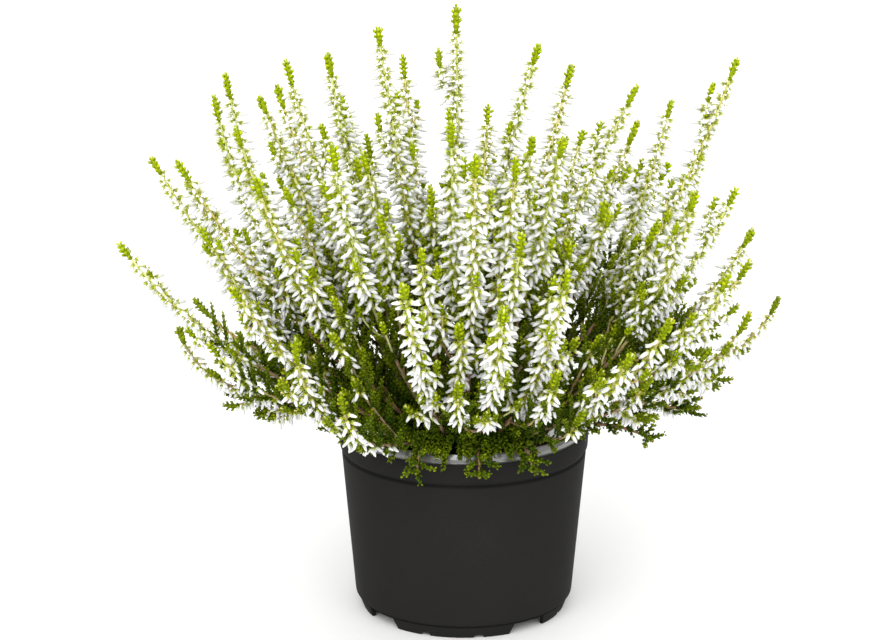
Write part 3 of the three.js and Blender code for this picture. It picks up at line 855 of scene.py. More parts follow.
def node(tree, kind, settings=None, **inputs):
    made = tree.nodes.new(kind)
    for name, value in (settings or {}).items():
        setattr(made, name, value)
    for name, value in inputs.items():
        socket = made.inputs[name.replace("_", " ")]
        if isinstance(value, bpy.types.NodeSocket):
            tree.links.new(value, socket)
        else:
            socket.default_value = value
    return made


def ramp(tree, factor, *stops):
    made = tree.nodes.new("ShaderNodeValToRGB")
    tree.links.new(factor, made.inputs["Fac"])
    points = made.color_ramp.elements
    while len(points) < len(stops):
        points.new(0.5)
    for point, (place, colour) in zip(points, stops):
        point.position = place
        point.color = (*colour, 1)
    return made.outputs["Color"]


def mixed(tree, factor, first, second, blend="MIX"):
    """Two colours mixed, each a socket or a colour."""
    made = tree.nodes.new("ShaderNodeMix")
    made.data_type = "RGBA"
    made.blend_type = blend
    for name, value in (("Factor_Float", factor), ("A_Color", first), ("B_Color", second)):
        socket = next(s for s in made.inputs if s.identifier == name)
        if isinstance(value, bpy.types.NodeSocket):
            tree.links.new(value, socket)
        elif name == "Factor_Float":
            socket.default_value = value
        else:
            socket.default_value = (*value, 1)
    return next(s for s in made.outputs if s.identifier == "Result_Color")


def read(tree, name):
    """A value that the mesh holds for each point."""
    made = tree.nodes.new("ShaderNodeAttribute")
    made.attribute_name = name
    return made.outputs["Fac"]


def grey(level):
    return (level, level, level)


def tinted(colour, gain, lift=0.0):
    """A colour made lighter or darker."""
    return tuple(min(1.0, gain * part + lift) for part in colour)


def blended(first, second, share, other):
    """A share of one colour with a share of another."""
    return tuple(share * a + other * b for a, b in zip(first, second))


def grain_group():
    """Fine grain with slow blotches under it, between 0 and 1."""
    name = "Plant grain"
    tree = bpy.data.node_groups.get(name)
    if tree is not None:
        return tree
    tree = bpy.data.node_groups.new(name, "ShaderNodeTree")
    for label, default in (("Fine scale", 1500.0), ("Slow scale", 90.0), ("Slow share", 0.4)):
        socket = tree.interface.new_socket(label, in_out="INPUT", socket_type="NodeSocketFloat")
        socket.default_value = default
    tree.interface.new_socket("Value", in_out="OUTPUT", socket_type="NodeSocketFloat")
    start = tree.nodes.new("NodeGroupInput").outputs
    place = tree.nodes.new("ShaderNodeTexCoord").outputs["Object"]
    fine = node(tree, "ShaderNodeTexNoise", Vector=place, Scale=start["Fine scale"],
                Detail=4.0, Roughness=0.6)
    slow = node(tree, "ShaderNodeTexNoise", Vector=place, Scale=start["Slow scale"],
                Detail=2.0, Roughness=0.5)
    both = tree.nodes.new("ShaderNodeMix")
    both.data_type = "FLOAT"
    tree.links.new(start["Slow share"], both.inputs["Factor"])
    tree.links.new(fine.outputs["Fac"], both.inputs["A"])
    tree.links.new(slow.outputs["Fac"], both.inputs["B"])
    end = tree.nodes.new("NodeGroupOutput")
    tree.links.new(both.outputs["Result"], end.inputs["Value"])
    return tree


def grain(tree, fine, slow, share):
    made = tree.nodes.new("ShaderNodeGroup")
    made.node_tree = grain_group()
    made.inputs["Fine scale"].default_value = fine
    made.inputs["Slow scale"].default_value = slow
    made.inputs["Slow share"].default_value = share
    return made.outputs["Value"]


def add_bump(tree, shader, height, strength, distance):
    bump = node(tree, "ShaderNodeBump", Height=height, Strength=strength, Distance=distance)
    tree.links.new(bump.outputs["Normal"], shader.inputs["Normal"])


def add_roughness(tree, shader, value, low, high):
    spread = node(tree, "ShaderNodeMapRange", Value=value, To_Min=low, To_Max=high)
    tree.links.new(spread.outputs["Result"], shader.inputs["Roughness"])


def petal_material(settings):
    """Green stalk and scales, a yellow-green root and a white closed bud."""
    material, tree, shader = new_material("Heather petals", **{
        "Specular IOR Level": 0.25, "Subsurface Weight": 0.40, "Subsurface Scale": 0.0012,
        "Subsurface Radius": (1.0, 1.0, 0.95)})
    petal = tuple(settings.petal)
    shade = read(tree, "shade")
    full = ramp(tree, shade, (0.0, (0.62, 0.48, 0.14)), (0.10, (0.60, 0.56, 0.12)),
                (0.18, (0.40, 0.50, 0.02)), (0.30, (0.58, 0.66, 0.06)),
                (0.37, (0.90, 0.74, 0.18)), (0.44, (0.93, 0.88, 0.58)),
                (0.55, petal), (1.0, petal))
    young = ramp(tree, shade, (0.0, (0.58, 0.52, 0.18)), (0.18, (0.40, 0.49, 0.03)),
                 (0.30, (0.58, 0.65, 0.09)), (0.40, (0.82, 0.76, 0.40)),
                 (0.70, (0.87, 0.87, 0.80)), (1.0, (0.88, 0.88, 0.86)))
    colour = mixed(tree, read(tree, "fresh"), full, young)
    tone = ramp(tree, read(tree, "draw"), (0.0, grey(0.93)), (0.5, grey(0.99)), (1.0, grey(1.0)))
    colour = mixed(tree, 1.0, colour, tone, "MULTIPLY")
    spots = grain(tree, 1900.0, 500.0, 0.5)
    veins = ramp(tree, spots, (0.3, (0.95, 0.955, 0.94)), (0.6, grey(1.0)))
    colour = mixed(tree, 0.7, colour, veins, "MULTIPLY")
    tree.links.new(colour, shader.inputs["Base Color"])
    add_roughness(tree, shader, spots, 0.38, 0.62)
    add_bump(tree, shader, spots, 0.35, 0.00015)
    return material


def leaf_material(settings):
    """Small scale leaves, dark low in the plant, partly from age and partly as painted shade, and lime
    green at the tips.
    """
    material, tree, shader = new_material("Heather leaves", **{
        "Specular IOR Level": 0.1, "Subsurface Weight": 0.08, "Subsurface Scale": 0.0006,
        "Subsurface Radius": (0.7, 1.0, 0.2)})
    dark, bright = tuple(settings.dark_leaf), tuple(settings.fresh_leaf)
    colour = ramp(tree, read(tree, "fresh"), (0.0, dark), (0.45, blended(dark, bright, 0.45, 0.36)),
                  (0.85, bright), (1.0, tinted(bright, 1.12)))
    tone = ramp(tree, read(tree, "draw"), (0.0, (0.66, 0.70, 0.60)), (0.6, grey(0.98)),
                (1.0, (1.25, 1.16, 1.0)))
    colour = mixed(tree, 1.0, colour, tone, "MULTIPLY")
    back = ramp(tree, read(tree, "shade"), (0.0, grey(0.62)), (0.5, grey(1.0)),
                (1.0, (1.18, 1.15, 0.95)))
    colour = mixed(tree, 1.0, colour, back, "MULTIPLY")
    spots = grain(tree, 2400.0, 120.0, 0.5)
    patches = ramp(tree, spots, (0.3, (0.80, 0.84, 0.80)), (0.65, (1.08, 1.05, 1.0)))
    colour = mixed(tree, 0.8, colour, patches, "MULTIPLY")
    tree.links.new(colour, shader.inputs["Base Color"])
    add_roughness(tree, shader, spots, 0.34, 0.60)
    add_bump(tree, shader, spots, 0.4, 0.0002)
    return material


def bark_material(settings):
    """Reddish-brown bark below, and pale yellow-green stems between the buds."""
    material, tree, shader = new_material("Heather bark", **{"Specular IOR Level": 0.3})
    old, young = tuple(settings.old_bark), tuple(settings.young_bark)
    reddish, olive, lime = (0.42, 0.26, 0.17), (0.54, 0.47, 0.19), (0.66, 0.68, 0.24)
    colour = ramp(tree, read(tree, "shade"), (0.0, old), (0.38, reddish), (0.52, olive),
                  (0.66, young), (1.0, lime))
    tone = ramp(tree, read(tree, "draw"), (0.0, (1.08, 0.90, 0.82)), (1.0, (0.92, 1.02, 0.95)))
    colour = mixed(tree, 1.0, colour, tone, "MULTIPLY")
    spots = grain(tree, 1300.0, 260.0, 0.45)
    flecks = ramp(tree, spots, (0.32, grey(0.6)), (0.5, grey(1.0)), (0.7, (1.2, 1.15, 1.1)))
    colour = mixed(tree, 0.8, colour, flecks, "MULTIPLY")
    tree.links.new(colour, shader.inputs["Base Color"])
    add_roughness(tree, shader, spots, 0.55, 0.85)
    add_bump(tree, shader, spots, 0.6, 0.0003)
    return material


def groove_shade_mask(tree):
    """How strongly painted shade darkens a place, by how near it is to the grooves under the band and
    above the feet.
    """
    place = tree.nodes.new("ShaderNodeTexCoord").outputs["Object"]
    height = node(tree, "ShaderNodeSeparateXYZ", Vector=place).outputs["Z"]
    total = None
    for level in SEAM_LEVELS:
        away = node(tree, "ShaderNodeMath", {"operation": "SUBTRACT"})
        tree.links.new(height, away.inputs[0])
        away.inputs[1].default_value = level * MM
        size = node(tree, "ShaderNodeMath", {"operation": "ABSOLUTE"})
        tree.links.new(away.outputs[0], size.inputs[0])
        near = node(tree, "ShaderNodeMapRange", Value=size.outputs[0], From_Min=GROOVE_SHADE["core"] * MM,
                    From_Max=GROOVE_SHADE["edge"] * MM, To_Min=GROOVE_SHADE["strength"], To_Max=0.0)
        if total is None:
            total = near.outputs["Result"]
            continue
        both = node(tree, "ShaderNodeMath", {"operation": "MAXIMUM"})
        tree.links.new(total, both.inputs[0])
        tree.links.new(near.outputs["Result"], both.inputs[1])
        total = both.outputs[0]
    return total


def pot_material(settings):
    """Moulded black plastic with a fine grain and a little dust, with painted shade darkening the
    grooves.
    """
    material, tree, shader = new_material("Pot plastic", **{"Specular IOR Level": 0.02})
    plastic = tuple(settings.plastic)
    spots = grain(tree, 1500.0, 30.0, 0.35)
    colour = ramp(tree, spots, (0.35, plastic), (0.52, plastic), (0.75, tinted(plastic, 1.3, 0.001)))
    # Painted shade: near the grooves the plastic turns much darker.
    colour = mixed(tree, groove_shade_mask(tree), colour, tinted(plastic, 0.15))
    tree.links.new(colour, shader.inputs["Base Color"])
    add_roughness(tree, shader, spots, 0.50, 0.62)
    add_bump(tree, shader, spots, 0.15, 0.0001)
    return material


def lip_material(settings):
    """The same plastic, smoother where the lip has been pressed flat, and painted lighter there as a
    painted reflection.
    """
    material, tree, shader = new_material("Lip plastic", **{
        "Specular IOR Level": 1.0, "Coat Weight": 0.8, "Coat Roughness": 0.12})
    # Painted reflection: the lip's colour is raised well above the plastic's, with lighter flecks.
    painted_lip_reflection = tinted(settings.plastic, 3.0, 0.045)
    spots = grain(tree, 900.0, 60.0, 0.5)
    colour = ramp(tree, spots, (0.4, painted_lip_reflection), (0.8, tinted(painted_lip_reflection, 1.2)))
    tree.links.new(colour, shader.inputs["Base Color"])
    add_roughness(tree, shader, spots, 0.16, 0.28)
    add_bump(tree, shader, spots, 0.08, 0.0001)
    return material


def peat_material(settings):
    """Damp reddish-brown peat with paler fibres."""
    material, tree, shader = new_material("Peat", **{"Specular IOR Level": 0.2})
    dark, light = tuple(settings.dark), tuple(settings.light)
    spots = grain(tree, 1400.0, 220.0, 0.5)
    colour = ramp(tree, spots, (0.32, dark), (0.52, blended(dark, light, 0.5, 0.5)), (0.72, light))
    tone = ramp(tree, read(tree, "draw"), (0.0, grey(0.55)), (0.7, grey(1.0)), (1.0, grey(1.7)))
    colour = mixed(tree, 1.0, colour, tone, "MULTIPLY")
    tree.links.new(colour, shader.inputs["Base Color"])
    add_roughness(tree, shader, spots, 0.75, 0.95)
    add_bump(tree, shader, spots, 0.8, 0.0006)
    return material


def floor_material(settings):
    """A matt, almost white floor."""
    material, tree, shader = new_material("Studio floor", **{
        "Specular IOR Level": 0.1, "Roughness": 0.9})
    pale = tuple(settings.floor)
    mist = node(tree, "ShaderNodeTexNoise", Scale=3.0, Detail=2.0)
    colour = ramp(tree, mist.outputs["Fac"], (0.3, tinted(pale, 0.985)), (0.7, pale))
    tree.links.new(colour, shader.inputs["Base Color"])
    return material


# ================================================================ pot and peat


def rounded_outline(outline):
    """The outline with each corner replaced by a short arc."""
    points = []
    for index, (radius, height, bend) in enumerate(outline):
        here = np.array([radius, height], float)
        if bend == 0:
            points.append(here)
            continue
        before = np.array(outline[index - 1][:2], float)
        after = np.array(outline[index + 1][:2], float)
        back, ahead = before - here, after - here
        cut_back = min(bend, CORNER_CUT * np.linalg.norm(back))
        cut_ahead = min(bend, CORNER_CUT * np.linalg.norm(ahead))
        first, last = here + unit(back) * cut_back, here + unit(ahead) * cut_ahead
        for t in (0, 1 / 3, 2 / 3, 1):
            points.append(first * (1 - t) ** 2 + here * 2 * t * (1 - t) + last * t ** 2)
    return points


def turned_mesh(name, outline, sides):
    """A closed body of revolution, with one point where the outline meets the axis."""
    body = bmesh.new()
    rings = []
    for radius, height in outline:
        if radius == 0:
            rings.append([body.verts.new((0, 0, height * MM))])
            continue
        angles = [2 * math.pi * side / sides for side in range(sides)]
        rings.append([
            body.verts.new((radius * MM * math.cos(a), radius * MM * math.sin(a), height * MM))
            for a in angles])
    for lower, upper in zip(rings, rings[1:]):
        for side in range(sides):
            there = (side + 1) % sides
            if len(lower) == 1:
                body.faces.new([lower[0], upper[there], upper[side]])
            elif len(upper) == 1:
                body.faces.new([lower[side], lower[there], upper[0]])
            else:
                body.faces.new([lower[side], lower[there], upper[there], upper[side]])
    bmesh.ops.recalc_face_normals(body, faces=body.faces)
    mesh = bpy.data.meshes.new(name)
    body.to_mesh(mesh)
    body.free()
    return mesh


def foot_cutter(corners, bearing):
    """A block that runs outwards under the wall, with its outline in the plane facing the axis."""
    turn = math.radians(bearing)
    out = Vector((math.cos(turn), math.sin(turn), 0))
    side = Vector((-math.sin(turn), math.cos(turn), 0))
    block = bmesh.new()
    rings = []
    for distance in (FOOT_CUT["from"], FOOT_CUT["to"]):
        rings.append([
            block.verts.new(
                out * (distance * MM) + side * (across * MM) + Vector((0, 0, height * MM)))
            for across, height in corners])
    block.faces.new(rings[0][::-1])
    block.faces.new(rings[1])
    for index in range(len(corners)):
        following = (index + 1) % len(corners)
        block.faces.new([rings[0][index], rings[0][following], rings[1][following], rings[1][index]])
    bmesh.ops.recalc_face_normals(block, faces=block.faces)
    return block


def drain_cutter(bearing):
    """A cylinder that takes a drain hole out of the floor."""
    turn = math.radians(bearing)
    middle = Vector((math.cos(turn), math.sin(turn), 0)) * DRAIN["circle"] * MM
    block = bmesh.new()
    made = bmesh.ops.create_cone(
        block, cap_ends=True, segments=DRAIN["facets"], radius1=DRAIN["radius"] * MM,
        radius2=DRAIN["radius"] * MM, depth=DRAIN["depth"] * MM)
    height = (FLOOR_UNDER + FLOOR_TOP) / 2 * MM
    bmesh.ops.translate(block, verts=made["verts"], vec=middle + Vector((0, 0, height)))
    return block


def pot_cutters():
    """The gaps between the feet, the notches in them, and the drain holes."""
    below = FOOT_CUT["below"]
    wide, narrow, top = FOOT_GAP["wide"] / 2, FOOT_GAP["narrow"] / 2, FOOT_GAP["top"]
    gap = [(-wide, below), (wide, below), (narrow, top), (-narrow, top)]
    half, steps = FOOT_NOTCH["width"] / 2, FOOT_NOTCH["steps"]
    angles = [math.pi * step / steps for step in range(steps + 1)]
    arch = [(math.cos(angle) * half, math.sin(angle) * FOOT_NOTCH["height"]) for angle in angles]
    notch = [*arch, (-half, below), (half, below)]
    cutters = []
    for foot in range(FOOT_COUNT):
        middle = FIRST_FOOT_MIDDLE + foot * 360 / FOOT_COUNT
        cutters.append(foot_cutter(gap, middle + 180 / FOOT_COUNT))
        cutters.append(foot_cutter(notch, middle - FOOT_NOTCH["from_middle"]))
        cutters.append(foot_cutter(notch, middle + FOOT_NOTCH["from_middle"]))
    for hole in range(DRAIN["count"]):
        cutters.append(drain_cutter(hole * 360 / DRAIN["count"]))
    return cutters


def cut_mesh(mesh, cutters):
    """The mesh with all the cutters taken out of it."""
    blocks = bmesh.new()
    for cutter in cutters:
        part = bpy.data.meshes.new("cutter")
        cutter.to_mesh(part)
        cutter.free()
        blocks.from_mesh(part)
        bpy.data.meshes.remove(part)
    tool_mesh = bpy.data.meshes.new("cutters")
    blocks.to_mesh(tool_mesh)
    blocks.free()
    tool = bpy.data.objects.new("cutters", tool_mesh)
    body = bpy.data.objects.new("body", mesh)
    for item in (tool, body):
        bpy.context.scene.collection.objects.link(item)
    cut = body.modifiers.new("cut", "BOOLEAN")
    cut.operation = "DIFFERENCE"
    cut.solver = "EXACT"
    cut.object = tool
    graph = bpy.context.evaluated_depsgraph_get()
    result = bpy.data.meshes.new_from_object(body.evaluated_get(graph))
    name = mesh.name
    bpy.data.objects.remove(body)
    bpy.data.objects.remove(tool)
    bpy.data.meshes.remove(mesh)
    bpy.data.meshes.remove(tool_mesh)
    result.name = name
    return result


class HEATHER_OT_make_pot(bpy.types.Operator):
    """Make the nursery pot"""

    bl_idname = "heather.make_pot"
    bl_label = "Make pot"

    def execute(self, context):
        settings = context.scene.heather_pot
        mesh = turned_mesh(remade("nursery_pot"), rounded_outline(POT_OUTLINE), settings.facets)
        mesh = cut_mesh(mesh, pot_cutters())
        mesh.shade_smooth()
        mesh.set_sharp_from_angle(angle=math.radians(POT_CREASE))
        show(mesh, pot_material(settings), "pot", "pot")
        mesh.materials.append(lip_material(settings))
        for face in mesh.polygons:
            middle = face.center / MM
            outside = math.hypot(middle.x, middle.y) > POT_INSIDE - LIP_SLACK
            if middle.z > LIP_FROM and outside:
                face.material_index = 1
        return {"FINISHED"}


def swell(place, pace, roughness, gain, octaves, height):
    return noise.fractal(place * pace, roughness, gain, octaves) * height


def peat_body():
    """The peat: a closed body with a rough mound on top."""
    edge = POT_INSIDE - AIR
    radii = [edge * math.sin(math.pi / 2 * (1 - ring / PEAT_RINGS)) for ring in range(PEAT_RINGS)]
    outline = [(0, FLOOR_TOP + AIR), *PEAT_FOOT]
    outline += [(radius, peat_top(radius)) for radius in radii] + [(0, PEAT_MIDDLE)]
    mesh = turned_mesh(remade("peat_body"), outline, PEAT_FACETS)
    for vert in mesh.vertices:
        place = vert.co / MM
        radius = math.hypot(place.x, place.y)
        if place.z < PEAT_ROUGH["above"] or radius > edge - PEAT_ROUGH["edge"]:
            continue
        rough = swell(place, *PEAT_LUMPS) + swell(place, *PEAT_GRAINS)
        vert.co.z += rough * MM * min(1, (edge - radius) / PEAT_ROUGH["fade"])
    return mesh


class HEATHER_OT_make_peat(bpy.types.Operator):
    """Make the peat, its crumbs and its fibres"""

    bl_idname = "heather.make_peat"
    bl_label = "Make peat"

    def execute(self, context):
        settings = context.scene.heather_peat
        rng = np.random.default_rng(SEEDS["peat"])
        material = peat_material(settings)
        body = peat_body()
        body.shade_smooth()
        values = body.attributes.new("draw", "FLOAT", "POINT")
        values.data.foreach_set("value", np.full(len(body.vertices), PEAT_DRAW, np.float32))
        show(body, material, "peat", "soil")
        growth = Growth()
        self.add_crumbs(growth, settings.crumbs, rng)
        self.add_fibres(growth, settings.fibres, rng)
        show(growth.mesh(remade("peat_crumbs")), material, "peat", "soil")
        return {"FINISHED"}

    @staticmethod
    def add_crumbs(growth, number, rng):
        reach = (POT_INSIDE - CRUMB["from_wall"]) * np.sqrt(rng.random(number))
        bearing = rng.uniform(0, 2 * math.pi, number)
        height = np.array([peat_top(radius) for radius in reach]) + CRUMB["height"]
        places = np.stack([reach * np.cos(bearing), reach * np.sin(bearing), height], axis=1)
        x_axes = unit(rng.normal(size=(number, 3)))
        axes = axes_from(x_axes, unit(rng.normal(size=(number, 3))))
        sizes = rng.gamma(*CRUMB["size"], number)[:, None]
        sizes = sizes * rng.uniform(*CRUMB["vary_sides"], (number, 3))
        growth.place(crumb(), places, axes, sizes.clip(*CRUMB["sizes"]), rng.random(number), 0.0)

    @staticmethod
    def add_fibres(growth, number, rng):
        rings = len(FIBRE["radii"])
        for _ in range(number):
            reach = (POT_INSIDE - FIBRE["from_wall"]) * math.sqrt(rng.random())
            bearing = rng.uniform(0, 2 * math.pi)
            heading = rng.uniform(0, 2 * math.pi)
            length = rng.uniform(*FIBRE["length"])
            middle = np.array([
                reach * math.cos(bearing), reach * math.sin(bearing),
                peat_top(reach) + FIBRE["height"]])
            ahead = np.array([math.cos(heading), math.sin(heading), rng.normal(0, FIBRE["slope"])])
            beside = np.array([-math.sin(heading), math.cos(heading), 0])
            steps = np.linspace(-0.5, 0.5, rings)[:, None]
            bow = (beside + UP * FIBRE["lift"]) * rng.normal(0, FIBRE["bow"])
            centres = middle + ahead * steps * length + bow * (steps ** 2 - FIBRE["level"])
            across = np.repeat(beside[None], rings, axis=0)
            aside = np.repeat(UP[None], rings, axis=0)
            radii = np.array(FIBRE["radii"]) * rng.uniform(*FIBRE["vary_radius"])
            growth.tube(centres, across, aside, radii, FIBRE["sides"], rng.uniform(*FIBRE["draw"]),
                        0.0, np.linspace(0, 1, rings))


# ================================================================ flowering stems and leafy shoots


# Curves of the radius along a stem, along its side shoots and along its short sprays.
STEM_RADII = ([0, 0.1, 0.25, SPRAY_FROM, 0.8, 1], [1.2, 1.1, 0.95, 0.78, 0.66, 0.5])
SIDE_RADII = ([0, 0.3, 0.8, 1], [0.75, 0.65, 0.55, 0.42])
SPRAY_RADII = ([0, 1], [0.52, 0.4])
BURIED_RADII = (1.1, 1.2)
WOOD_SIDES = {"stem": 7, "buried": 6, "side": 6, "spray": 5}
# How young the bark looks at a tip, by its height, and at the foot of what forks from a stem.
YOUNG_BARK = {"tip": ([150, 230], [0.5, 1.0]), "side_foot": 0.22, "spray_foot": 0.6, "leafy": 0.2}

START_STEPS = 40                 # places on a shoot that are tried for its first bud
FIRST_BUD = {"stem": SPRAY_FROM - 0.06, "side": 0.16, "spray": 0.12}
# Short sprays that fork from a stem: the shares of its length between which each one forks, and
# their length. A low stem bears only the first ones.
SPRAY_WAY = {"opening": (28, 58), "rise": (0.0, 0.6)}
SPRAY_FORKS = {
    "shares": ((0.66, 0.80), (0.56, 0.66), (0.46, 0.56), (0.38, 0.46)), "length": (17, 29),
    "on_low_stem": 2}
LOWEST_FORK = {"share": (0.30, 0.38), "length": (26, 38)}
# The same on a side shoot, with the height that its tip has to reach.
SIDE_FORKS = (
    {"above": LOW_STEM - 20, "share": (0.30, 0.50), "length": (14, 23)},
    {"above": LOW_STEM + 15, "share": (0.55, 0.75), "length": (13, 20)},
)
# Sprays on low, wide stems. At the sides they sink and lift again, in front and behind they rise:
# both are shares of their length.
HANGING_AT_SIDES = {"number": 4, "sink": 0.36, "rise": -0.16}
HANGING_IN_FRONT = {"number": 1, "sink": -0.06, "rise": 0.42}
SPARSE = {"reach": ([125, 160], [0, 1]), "least": 0.05, "more": 0.5}     # wide stems have fewer buds
TIP_LENGTH = {"spray": (6.5, 10), "stem": (9, 14)}
TIP_WIDTH = {"spray": 0.96, "stem": (1.0, 1.2)}
TIP_OVERLAP = 1.0                # the buds run on this far into the leafy tip
# Leaves between the buds: they stand closer at the foot of a spray than at its tip.
BRACT = {
    "pitch": 3.2, "even": 0.8, "crowded": 0.2, "size": 3.2, "smaller": 0.9, "spread": 0.50,
    "from_axis": 0.4, "fresh": 0.80, "fresher": 0.2}

# Twigs of scale leaves. Their length in millimetres, how far they lean ahead along the shoot, and
# how far they curl up as a share of their length.
SIDE_TWIG = {"stray": 0.004, "vary_turn": 0.3, "more_ahead": 0.7, "lift": 0.15, "fewest": 2}
STEM_TWIGS = {
    "from": 0.03, "past_first_bud": 0.1, "until": 0.9, "length": (8, 16), "ahead": 0.9, "curl": 0.30}
# Leaves low on the stems are darker: partly older leaves, partly painted shade deep in the plant.
STEM_TWIG_AGE_AND_SHADE = {"low": 0.05, "more": 0.55, "over": 90, "vary": 0.1, "most": 0.75}
GROUND_TWIGS = {
    "number": 5, "shares": (0.0, 0.09), "swing": (-1.4, 1.4), "slope": (0.1, 0.7),
    "length": (10, 19), "lift": 0.1}
TRAILING_TWIGS = {
    "from_axis": 20, "front": -20, "number_in_front": 4, "number": 2, "shares": (0.0, 0.06),
    "swing": (-0.5, 0.5), "over": (55, 60), "over_height": (105, 111), "end": (62, 68),
    "end_height": (92, 100)}
GROUND_LEAVES = {"fresh": (0.0, 0.16), "leaf": 3.7, "pitch": 2.2}
LEAFY_TWIGS = {
    "from": 0.05, "until": 0.94, "apart": 1.2, "length": (6, 13), "ahead": 0.3, "curl": 0.1}
LEAFY_LEAVES = {"fresh": (0.0, 0.34), "pitch": 1.6, "tip_from": 0.9, "tip_width": 0.8}
FRONT_SHOOT = {"bearing": -90, "within": 45}
# Over the rim: how strongly a twig is turned outwards, by height how much shorter it gets, how far
# it is lifted then, and how far its bend strays.
OVER_RIM = {"outwards": 1.6, "shorter": ([84, 100], [0.55, 1.0]), "lift": 2.0, "stray": 1.5}
LEVEL_DROP = 1.0                 # a twig that spreads level ends this far below its root


def stem_wood(growth, leader, draw, young):
    """The bark of a stem, from its foot in the peat to its tip."""
    foot = leader.at(0)[0]
    depth = np.array([foot[0], foot[1], foot[2] - STEM_FOOT - STEM_DEPTH])
    bearing = unit(np.cross(leader.sideways, UP))
    growth.tube(np.array([depth, foot]), np.array([bearing] * 2), np.array([leader.sideways] * 2),
                np.array(BURIED_RADII), WOOD_SIDES["buried"], draw, 0.0, np.zeros(2))
    add_wood(growth, leader, STEM_RADII, (0.0, young), draw, WOOD_SIDES["stem"])


def flower_start(course, earliest):
    """Share of a shoot's length at which its flowers begin, outside the leafy heart of the plant."""
    shares = np.linspace(earliest, LAST_START, START_STEPS)
    places = course.at(shares)
    bearings = np.degrees(np.arctan2(places[:, 1], places[:, 0]))
    wider = 1 + sum(more * np.exp(-((bearings - middle) / half) ** 2)
                    for middle, half, more in LEAFY_WINDOWS)
    level = LEAFY_HEART["height"][0] + (places[:, 2] - LEAFY_HEART["height"][0]) / wider
    heart = np.interp(level, LEAFY_HEART["height"], LEAFY_HEART["radius"]) * wider
    inside = np.hypot(places[:, 0] / LEAFY_HEART["wide"], places[:, 1] / LEAFY_HEART["deep"]) < heart
    if places[-1][2] < LOW_STEM:
        flat = course.along(shares)[:, 2] < math.cos(math.radians(LOW_LEAN))
        sideways = abs(places[-1][0]) / math.hypot(places[-1][0], places[-1][1])
        inside |= flat & (shares < np.interp(sideways, [0, 1], LATE_START))
    return shares[np.flatnonzero(inside)[-1]] if inside.any() else earliest


def extra_sprays(course, shares, lengths, rng):
    """Short sprays that fork from a shoot, some close to it and some wide."""
    return [
        side_course(course, share, rng.uniform(*lengths), rng.uniform(0, 2 * math.pi),
                    rng.uniform(*SPRAY_WAY["opening"]), rng.uniform(*SPRAY_WAY["rise"]))
        for share in shares]


def hanging_sprays(leader, rng):
    """Short sprays low on a stem that leans over the rim, and near the foot of a front stem."""
    tip = leader.at(1)[0]
    low = tip[2] < HANGING["below"] and math.hypot(tip[0], tip[1]) > HANGING["beyond"]
    way = HANGING_AT_SIDES if abs(tip[0]) > abs(tip[1]) else HANGING_IN_FRONT
    shares = [*rng.uniform(*HANGING["shares"], way["number"] if low else 0),
              *rng.uniform(*HANGING["near_foot"], 1 if tip[1] < FRONT_STEM else 0)]
    sprays = []
    for root in leader.at(shares):
        swing = np.sign(root[0] * root[1]) * rng.uniform(*HANGING["swing"])
        bearing = math.atan2(root[1], root[0]) - swing
        out = np.array([math.cos(bearing), math.sin(bearing), 0])
        length = rng.uniform(*HANGING["length"])
        bend = root + out * length * HANGING["bend"] - UP * length * way["sink"]
        end = root + out * length * HANGING["end"] + UP * length * way["rise"]
        sprays.append(Course([root, bend, end], np.cross(out, UP)))
    return sprays


def side_twigs(course, start, end, pitch, way, rng):
    """The leafy twigs all round a part of a shoot."""
    number = max(SIDE_TWIG["fewest"], round(course.length * (end - start) / pitch))
    shares = np.linspace(start, end, number) + rng.normal(0, SIDE_TWIG["stray"], number)
    centres, along, across, aside = course.frames(shares)
    angles = rng.uniform(0, ABOUT_A_TURN) + np.arange(number) * GOLDEN_ANGLE
    angles = angles + rng.normal(0, SIDE_TWIG["vary_turn"], number)
    outward = radial(across, aside, angles)
    ahead = rng.uniform(way["ahead"], way["ahead"] + SIDE_TWIG["more_ahead"], number)[:, None]
    heading = unit(outward + along * ahead + UP * SIDE_TWIG["lift"])
    reach = heading * rng.uniform(*way["length"], number)[:, None]
    rise = UP * way["curl"] * np.linalg.norm(reach, axis=1)[:, None]
    return [(root, root + step / 2, root + step + lift)
            for root, step, lift in zip(centres, reach, rise)]


def ground_twigs(leader, rng):
    """Twigs at the foot of a stem: short ones over the peat, and a few that trail over the rim."""
    short, trailing = GROUND_TWIGS, TRAILING_TWIGS
    foot = leader.at(0)[0]
    facing = math.atan2(foot[1], foot[0])
    twigs = []
    for root in leader.at(rng.uniform(*short["shares"], short["number"])):
        bearing = facing + rng.uniform(*short["swing"])
        out = np.array([math.cos(bearing), math.sin(bearing), rng.uniform(*short["slope"])])
        length = rng.uniform(*short["length"])
        end = root + out * length + UP * short["lift"] * length
        twigs.append((root, root + out * length / 2, end))
    number = trailing["number_in_front"] if foot[1] < trailing["front"] else trailing["number"]
    if math.hypot(foot[0], foot[1]) < trailing["from_axis"]:
        number = 0
    for root in leader.at(rng.uniform(*trailing["shares"], number)):
        bearing = facing + rng.uniform(*trailing["swing"])
        if OPEN_RIM[0] < math.degrees(bearing) < OPEN_RIM[1]:
            continue
        out = np.array([math.cos(bearing), math.sin(bearing), 0])
        bend = out * rng.uniform(*trailing["over"]) + UP * rng.uniform(*trailing["over_height"])
        end = out * rng.uniform(*trailing["end"]) + UP * rng.uniform(*trailing["end_height"])
        twigs.append((root, bend, end))
    return twigs


def main_shoots(leader, sides):
    """A stem's main course and side shoots, with the shares at which they may start to flower."""
    return [(leader, FIRST_BUD["stem"])] + [(side, FIRST_BUD["side"]) for side in sides]


